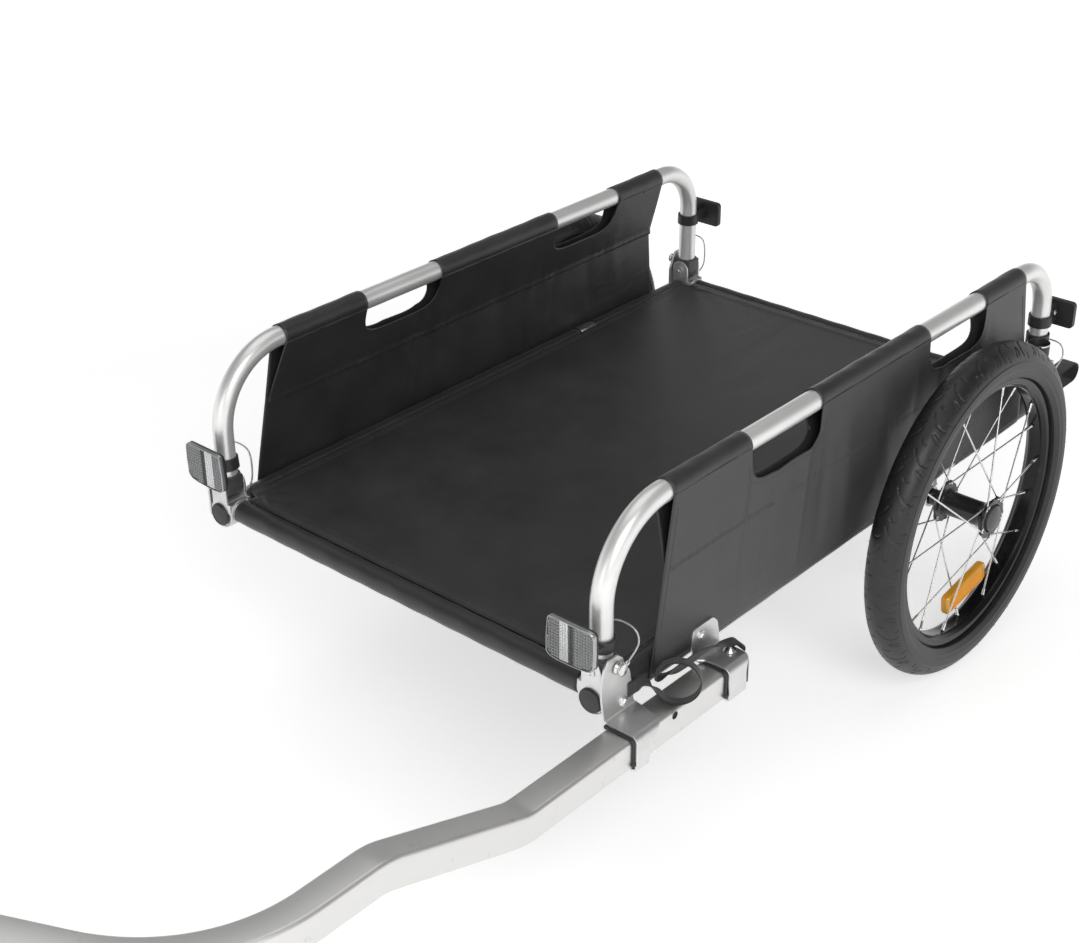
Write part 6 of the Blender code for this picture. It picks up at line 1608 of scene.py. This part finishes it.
def rear_reflector(side):
    """Black housing with a red lens facing rearward, on an arm with a screw and a band round the rear leg."""
    sign = SIDES[side]
    leg_x, leg_y, z = sign * TUBE_X, LEGS["rear"], PIVOT_Z + 0.071
    face = leg_y + 0.0420
    shape = lozenge(0.054, 0.033) + (leg_x, z)
    body = [slab(shape, "Y", face - 0.0100, face - 0.0030, 0.0009)]
    arm = slab(bar_section(0.0120, 0.0116, 0.0016, 4) + (leg_x, z), "Y", leg_y + 0.0125, face - 0.0092,
               0.0008)
    gusset = slab(soften([(leg_y + 0.0148, z - 0.0160), (face - 0.0095, z - 0.0092),
                          (face - 0.0095, z + 0.0120), (leg_y + 0.0148, z + 0.0120)], 0.0018), "X",
                  leg_x + sign * 0.0030 - 0.0024, leg_x + sign * 0.0030 + 0.0024, 0.0008)
    screw = turn([(0, 0.0062), (0.0026, 0.0062), (0.0031, 0.0068), (0.0031, 0.0078), (0.0024, 0.0086),
                  (0.0010, 0.0088), (0.0008, 0.0080), (0, 0.0080)], (leg_x, leg_y + 0.0235, z + 0.0035),
                 (sign, 0, 0), 28)
    nut = turn([(0, 0.0042), (0.0040, 0.0042), (0.0040, 0.0064), (0, 0.0064)],
               (leg_x, leg_y + 0.0235, z + 0.0035), (sign, 0, 0), 32)
    inner = lozenge(0.0505, 0.0295, 0.0042)
    turned_in = lozenge(0.0500, 0.0290, 0.0042) + (leg_x, z)
    lens = slab(turned_in, "Y", face - 0.0034, face - 0.0008, 0.0006)

    def carried(points):
        return np.stack([leg_x + points[:, 0], face - 0.0008 + points[:, 2], z + points[:, 1]], 1)

    cells = facets(inner * 0.95, (0.0014, 0.0014), 0.0007, lambda a, b: (0.2 * np.sign(a + 1e-9), 0 * b),
                   carried)
    piece(f"rear_reflector_housing_{side}", body + [arm, gusset, nut, (screw, 1), (lens, 2), (cells, 2)]
          + leg_band(leg_x, leg_y, z), [BLACK, STEEL, RED_LENS], f"hoop_{side}_body",
          f"rear_reflector_{side}", 14, 0.000001)


def spoke_reflector(side):
    """Amber wheel reflector: two bevelled faces with prism rows, a raised rim and a seam."""
    sign = SIDES[side]
    x = sign * abs(TRACK)
    where, tilt = math.radians(-86.5), math.radians(9.0)
    cy, cz = 0.107 * math.cos(where), AXLE_Z + 0.107 * math.sin(where)
    cell = 0.0015
    outline = lozenge(0.085, 0.025)
    field = lozenge(0.074, 0.0195, 0.0035)

    def carried(points, way=1.0):
        a, b = points[:, 0], points[:, 1]
        return np.stack([x + way * points[:, 2], cy + a * math.cos(tilt) - b * math.sin(tilt),
                         cz + a * math.sin(tilt) + b * math.cos(tilt)], 1)

    def ring(shape, rise, way):
        return carried(np.column_stack([shape, np.full(len(shape), rise)]), way)

    parts = []
    for way in (1.0, -1.0):
        edge = np.stack([ring(outline, 0.0004, way), ring(outline, 0.0026, way),
                         ring(outline * (0.975, 0.94), 0.0045, way),
                         ring(lozenge(0.0762, 0.0213, 0.004), 0.0053, way), ring(field, 0.0051, way),
                         ring(field, 0.0040, way)])
        parts.append(surface(edge, (False, True)))
        parts.append(patch(ring(field, 0.0040, way), [list(range(len(field)))], field))

        def lean(a, b):
            """Broad squares in the middle and ribs that look outwards at both ends."""
            end = np.abs(a) > 0.026
            rows = np.where((b / cell) % 2 < 1, 0.4, -0.4)
            return np.where(end, np.sign(a) * 0.8, 0.0), np.where(end, 0.0, rows)

        parts.append(facets(field * 0.985, (cell, cell), 0.6 * cell, lean,
                            lambda p, way=way: carried(p + (0, 0, 0.0040), way)))
    seam = np.stack([ring(outline, 0.0004, 1.0), ring(outline * (0.99, 0.975), 0.0, 1.0),
                     ring(outline, 0.0004, -1.0)])
    parts.append(surface(seam, (False, True)))
    piece(f"amber_wheel_reflector_{side}", parts, AMBER, f"wheel_{side}_body", f"spoke_reflector_{side}",
          14, 0.000001)


for side in SIDES:
    front_reflector(side)
    rear_reflector(side)
    spoke_reflector(side)


# Small fittings

def flag_socket():
    """Cup with a silver ring on its rim, and its arm and band on the rear left leg."""
    leg = np.array((TUBE_X, LEGS["rear"], 0))
    x, top = TUBE_X + 0.0236, PIVOT_Z + 0.064
    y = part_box("flag_socket")[0][1] - AXLE_Y + 0.013
    bottom = top - 0.030
    cup = turn([(0, bottom), (0.0118, bottom), (0.0128, bottom + 0.0012), (0.0130, top - 0.0050),
                (0.0130, top - 0.0004), (0.0126, top), (0.0114, top), (0.0110, top - 0.0006),
                (0.0110, bottom + 0.0045), (0, bottom + 0.0040)], (x, y, 0), (0, 0, 1), 56)
    lip = turn([(0.0113, top - 0.0001), (0.0115, top + 0.0000), (0.0126, top + 0.0000),
                (0.01305, top - 0.0006), (0.01310, top - 0.0022), (0.01300, top - 0.0023),
                (0.0126, top - 0.0010)], (x, y, 0), (0, 0, 1), 56)
    z = top - 0.0165
    start = np.array((x, y, z))
    end = leg + (0, 0, z)
    along = unit(end - start)
    rod = sweep(np.stack([start + along * 0.0118, start + along * 0.016, end - along * 0.0185,
                          end - along * 0.0150]), bar_section(0.0090, 0.0098, 0.0028, 4), (0, 0, 1),
                [1.25, 1.0, 1.0, 1.25])
    piece("flag_cup", [cup, (lip, 1), rod] + leg_band(leg[0], leg[1], z), [BLACK, STEEL], "hoop_left_body",
          "flag_socket", 34)


def webbing_loop():
    """Flat loop: webbing folded back on itself, its two ends meeting at the tube."""
    box_low, box_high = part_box("webbing_loop")
    near, far = box_low[1] - AXLE_Y, box_high[1] - AXLE_Y
    mid_z = (box_low[2] + box_high[2]) / 2
    half = (box_high[2] - box_low[2]) / 2 - 0.0011
    t = np.linspace(math.pi / 2, -math.pi / 2, 21)
    rows = [(near + 0.0012, half * 0.30), (near + 0.010, half * 0.36), (near + 0.024, half * 0.62),
            (near + 0.045, half * 0.92), (near + 0.066, half * 0.99)]
    bend = [(far - 0.0015 - half * 1.1 + math.cos(a) * half * 1.1, half * math.sin(a)) for a in t]
    line = rows + bend + [(y, -z) for y, z in rows[::-1]]
    path = np.array([(TUBE_X, y, mid_z + z) for y, z in line])
    path = even(smooth_run(path, 5), 0.0012)
    drift = 0.0006 * np.sin(np.linspace(0, 9, len(path)))
    path[:, 0] += drift
    piece("folded_webbing_loop", flat_band(path, (1, 0, 0), 0.0198, 0.0015), WEBBING, "frame", "webbing_loop",
          50)


def flat_band(path, across, width, thick):
    """Webbing: p = c(s) + a w(s) + b n(s), with w the way its width lies and round woven edges."""
    path = np.asarray(path, float)
    across = np.broadcast_to(np.asarray(across, float), path.shape)
    along = unit(np.gradient(path, axis=0))
    w = unit(across - (across * along).sum(1)[:, None] * along)
    n = np.cross(along, w)
    k = np.linspace(-1, 1, 13)
    edge = np.sqrt(np.clip(1 - (np.clip(np.abs(k) - 0.9, 0, 1) / 0.1) ** 2, 0, 1)) * 0.85 + 0.15
    top = np.stack([k * width / 2, edge * thick / 2], 1)
    section = np.concatenate([top, (top * (1, -1))[::-1]])
    points = path[:, None] + section[None, :, 0, None] * w[:, None] + section[None, :, 1, None] * n[:, None]
    return surface(points, (False, True), caps=True)


def sewn_row(path, across, normal, offset, lift, length=0.0026, gap=0.0012, radius=0.00028):
    """A row of short raised threads along a path, offset across it."""
    path = np.asarray(path, float)
    s = run_length(path)
    parts = []
    at = gap
    while at + length < s[-1]:
        spots = np.linspace(at, at + length, 5)
        line = np.stack([np.interp(spots, s, path[:, k]) for k in range(3)], 1)
        w = np.stack([np.interp(spots, s, across[:, k]) for k in range(3)], 1)
        n = np.stack([np.interp(spots, s, normal[:, k]) for k in range(3)], 1)
        arch = np.array([-0.5, 0.6, 0.9, 0.6, -0.5])[:, None] * radius
        parts.append(sweep(line + w * offset + n * (lift + arch), disc(radius, 6), (0.2, 0.3, 0.9)))
        at += length + gap
    return parts


def strap_line():
    """The strap's stations and the way its width faces: over the bolt, round one coil, to the front web."""
    x, y = BAR_X, PIVOT_Y
    plate_top = CHANNEL_TOP + PLATE
    crown = plate_top + 2 * FIT + 0.0055 + 0.0042
    rows = [((x + 0.0044, y + 0.0106, plate_top + 2 * FIT), (0.96, -0.27, 0.0)),
            ((x + 0.0045, y + 0.0108, plate_top + 0.0050), (0.96, -0.27, 0.0)),
            ((x + 0.0032, y + 0.0070, crown - 0.0010), (0.96, -0.27, 0.0)),
            ((x + 0.0010, y + 0.0010, crown), (0.95, -0.30, 0.05)),
            ((x - 0.0020, y - 0.0060, crown), (0.93, -0.33, 0.15)),
            ((x - 0.0050, y - 0.0130, crown - 0.0002), (0.80, -0.30, 0.50)),
            ((x - 0.0075, y - 0.0210, crown), (0.60, -0.15, 0.78)),
            ((x - 0.0090, y - 0.0320, crown + 0.0002), (0.45, -0.05, 0.89)),
            ((x - 0.0098, y - 0.0440, crown + 0.0002), (0.30, 0.00, 0.95)),
            ((x - 0.0100, y - 0.0580, crown + 0.0002), (0.28, -0.15, 0.93)),
            ((x - 0.0105, y - 0.0730, crown + 0.0012), (0.34, -0.42, 0.80))]
    facing = Vector((0.56, -0.80, 0.20)).normalized()
    wide = Vector((-facing.y, facing.x, 0)).normalized() * 0.0215
    high = facing.cross(wide.normalized()) * 0.0195
    foot = BAR_Z + BAR_HALF + FIT + 0.0007 + 0.008 * facing.z
    centre = Vector((x + 0.0075, y - 0.0915, foot + high.z))
    for k in range(14):
        at = math.radians(172 - 322 * k / 13)
        shift = facing * (-0.004 + 0.010 * k / 13)
        rows.append((tuple(centre + wide * math.cos(at) + high * math.sin(at) + shift), tuple(facing)))
    web = EAR_X + PLATE + FIT + 0.0007
    rows += [((web + 0.0030, y - 0.1150, LOWER_Z + 0.0005), (0.22, -0.45, 0.86)),
             ((web + 0.0004, y - 0.1240, LOWER_Z + 0.0030), (0.05, -0.10, 0.99)),
             ((web, y - 0.1310, LOWER_Z + 0.0035), (0, 0, 1)),
             ((web, y - 0.1370, LOWER_Z + 0.0035), (0, 0, 1))]
    return np.array([r[0] for r in rows]), np.array([r[1] for r in rows])


def bar_strap():
    """Webbing strap from the pivot bolt to the front receiver, with rows of stitches on its coil."""
    places, ways = strap_line()
    line, facing = smooth_run(places, 9), smooth_run(ways, 9)
    along = unit(np.gradient(line, axis=0))
    w = unit(facing - (facing * along).sum(1)[:, None] * along)
    n = np.cross(along, w)
    band = flat_band(line, facing, 0.016, 0.0014)
    threads = []
    sewn = slice(60, 92)
    for offset in (-0.0062, 0.0062):
        for lift in (-0.0007, 0.0007):
            threads += sewn_row(line[sewn], w[sewn], n[sewn], offset, lift)
    piece("coiled_bar_strap", [band] + [(t, 1) for t in threads], [WEBBING, THREAD], "frame", "bar_strap",
          50)


flag_socket()
webbing_loop()
bar_strap()


# Hitch end

def hitch():
    """Ribbed plug and neck in the bar's nose, the forked steel tongue on its lug, and the pin."""
    line = bar_line()
    x, nose, z = line[-1]
    hinge = nose - FIT - 0.040 - 0.013
    neck = turn([(0.0120, nose - FIT - 0.0050), (0.0120, nose - 0.0300), (0.0112, hinge + 0.0185),
                 (0.0085, hinge + 0.0183), (0, hinge + 0.0183)], (x, 0, z), (0, 1, 0), 48)
    outline = bar_section(2 * BAR_HALF, 2 * BAR_HALF, BAR_CORNER, 7)
    shoulder = slab(outline + (x, z), "Y", nose - 0.006, nose - FIT, 0.0012)
    shank = slab(bar_section(0.0274, 0.0274, 0.003, 5) + (x, z), "Y", nose - 0.002, nose + 0.0300, 0.001)
    ribs = [slab(bar_section(0.0278, 0.0278, 0.003, 5) + (x, z), "Y", nose + at, nose + at + 0.0015, 0.0005)
            for at in (0.006, 0.012, 0.018, 0.024)]
    t = np.linspace(math.pi, TAU, 25)
    tab = [(x + 0.0122 * math.cos(a), hinge + 0.0122 * math.sin(a))
           for a in t] + [(x + 0.0110, hinge + 0.0195), (x - 0.0110, hinge + 0.0195)]
    hole = circle(0.0044, (x, hinge))
    lug = slab(np.array(tab), "Z", z - 0.006, z + 0.006, 0.0008, (hole,))
    piece("moulded_hitch_neck", [neck, shoulder, shank, lug] + ribs, BLACK, "tow_bar_body", "hitch_neck",
          34)

    front, back = hinge - 0.075, hinge + 0.013
    fork = soften([(x - 0.013, front), (x + 0.013, front), (x + 0.013, back), (x - 0.013, back)],
                  [0.006, 0.006, 0.0124, 0.0124], 14)
    cheeks = [slab(np.array([(a, max(b, hinge - 0.0235)) for a, b in fork]), "Z", z + low, z + low + 0.0030,
                   0.0006, (hole,)) for low in (0.0063, -0.0093)]
    eye = circle(0.0055, (x, front + 0.016), 32)
    blade = slab(np.array([(a, min(b, hinge - 0.0165)) for a, b in fork]), "Z", z - 0.0015, z + 0.0015,
                 0.0005, (eye,))
    block = slab(np.array([(x - 0.0128, hinge - 0.0235), (x + 0.0128, hinge - 0.0235),
                           (x + 0.0128, hinge - 0.0168), (x - 0.0128, hinge - 0.0168)]), "Z", z - 0.0092,
                 z + 0.0092, 0.0008)
    piece("forked_hitch_tongue", cheeks + [blade, block], STEEL, "tongue_body", "hitch_tongue", 34)
    top = 0.0093 + FIT
    pin = [turn([(0, -0.0193), (0.0024, -0.0193), (0.0032, -0.0184), (0.0040, -0.0165), (0.0040, top),
                 (0, top)], (x, hinge, z), (0, 0, 1), 40),
           turn([(0, top), (0.0084, top), (0.0090, top + 0.0006), (0.0090, top + 0.0034),
                 (0.0080, top + 0.0046), (0.0060, top + 0.0050), (0, top + 0.0050)], (x, hinge, z), (0, 0, 1),
                48)]
    piece("turned_hitch_pin", pin, STEEL, "hitch_pin_body", "hitch_pin", 34)


hitch()


# Stage

def floor():
    """Pale floor that runs into the white backdrop: camera and mirror rays see it lifted to white."""
    paper = Finish("paper floor", (0.88, 0.88, 0.88), 0.8, 0.0, Specular_IOR_Level=0.1)
    mesh = bpy.data.meshes.new("floor")
    half = 16
    mesh.from_pydata([(-half, -half, 0), (half, -half, 0), (half, half, 0), (-half, half, 0)], [],
                     [(0, 1, 2, 3)])
    item = bpy.data.objects.new("floor", mesh)
    item.location.z = -0.0006
    bpy.context.scene.collection.objects.link(item)
    rays = paper.node("ShaderNodeLightPath")
    length = paper.node("ShaderNodeVectorMath", operation="LENGTH")
    paper.link(paper.coords.outputs["Object"], length.inputs[0])
    far = paper.ramp(paper.maths("MULTIPLY", length.outputs["Value"], 0.1), [(0.12, 0.56), (0.30, 1.0)])
    seen = paper.maths("ADD",
                       paper.maths("ADD", rays.outputs["Is Camera Ray"], rays.outputs["Is Glossy Ray"]),
                       rays.outputs["Is Transmission Ray"])
    paper.shader.inputs["Emission Color"].default_value = (1, 1, 1, 1)
    paper.link(paper.maths("MULTIPLY", far, paper.maths("MINIMUM", seen, 1.0)),
               paper.shader.inputs["Emission Strength"])
    mesh.materials.append(paper.material)


def studio():
    """White walls under a dark ceiling, a key softbox to the near left, an overhead bank and a weak fill."""
    world = bpy.data.worlds.new("studio white")
    world.use_nodes = True
    bpy.context.scene.world = world
    tree = world.node_tree
    sky = tree.nodes["Background"]
    where = tree.nodes.new("ShaderNodeTexCoord")
    parts = tree.nodes.new("ShaderNodeSeparateXYZ")
    shade = tree.nodes.new("ShaderNodeValToRGB")
    tree.links.new(where.outputs["Generated"], parts.inputs[0])
    tree.links.new(parts.outputs["Z"], shade.inputs[0])
    tree.links.new(shade.outputs[0], sky.inputs["Color"])
    steps = shade.color_ramp.elements
    steps[0].position, steps[1].position = 0.10, 0.42
    steps[0].color, steps[1].color = (1, 1, 1, 1), (0.16, 0.16, 0.16, 1)
    sky.inputs["Strength"].default_value = 1.0
    for name, place, size, power in (("key softbox", (2.4, -1.4, 2.4), 1.8, 52),
                                     ("overhead bank", (-0.3, 0.4, 2.9), 2.4, 17),
                                     ("front fill", (0.3, -3.2, 1.2), 1.6, 10)):
        lamp = bpy.data.lights.new(name, "AREA")
        lamp.shape = "SQUARE"
        lamp.size = size
        lamp.energy = power
        item = bpy.data.objects.new(name, lamp)
        item.location = place
        item.rotation_euler = (Vector((0, 0, 0.25)) - Vector(place)).to_track_quat("-Z", "Y").to_euler()
        bpy.context.scene.collection.objects.link(item)
    bpy.context.scene.view_settings.view_transform = "Standard"


def camera():
    """The photograph's place: left of the towing end, looking down across the bed."""
    a, e, r = (math.radians(v) for v in (41.8122, 28.6205, -0.6046))
    back = Vector((math.sin(a) * math.cos(e), -math.cos(a) * math.cos(e), math.sin(e)))
    right0 = Vector((math.cos(a), math.sin(a), 0))
    up0 = back.cross(right0)
    right = math.cos(r) * right0 + math.sin(r) * up0
    up = -math.sin(r) * right0 + math.cos(r) * up0
    data = bpy.data.cameras.new("camera")
    data.lens = 60.41
    data.sensor_width = 36
    item = bpy.data.objects.new("camera", data)
    turn_to = Matrix((right, up, back)).transposed()
    item.matrix_world = Matrix.Translation((1.1383, -1.6585 + AXLE_Y, 1.2315)) @ turn_to.to_4x4()
    bpy.context.scene.collection.objects.link(item)
    bpy.context.scene.camera = item


floor()
studio()
camera()
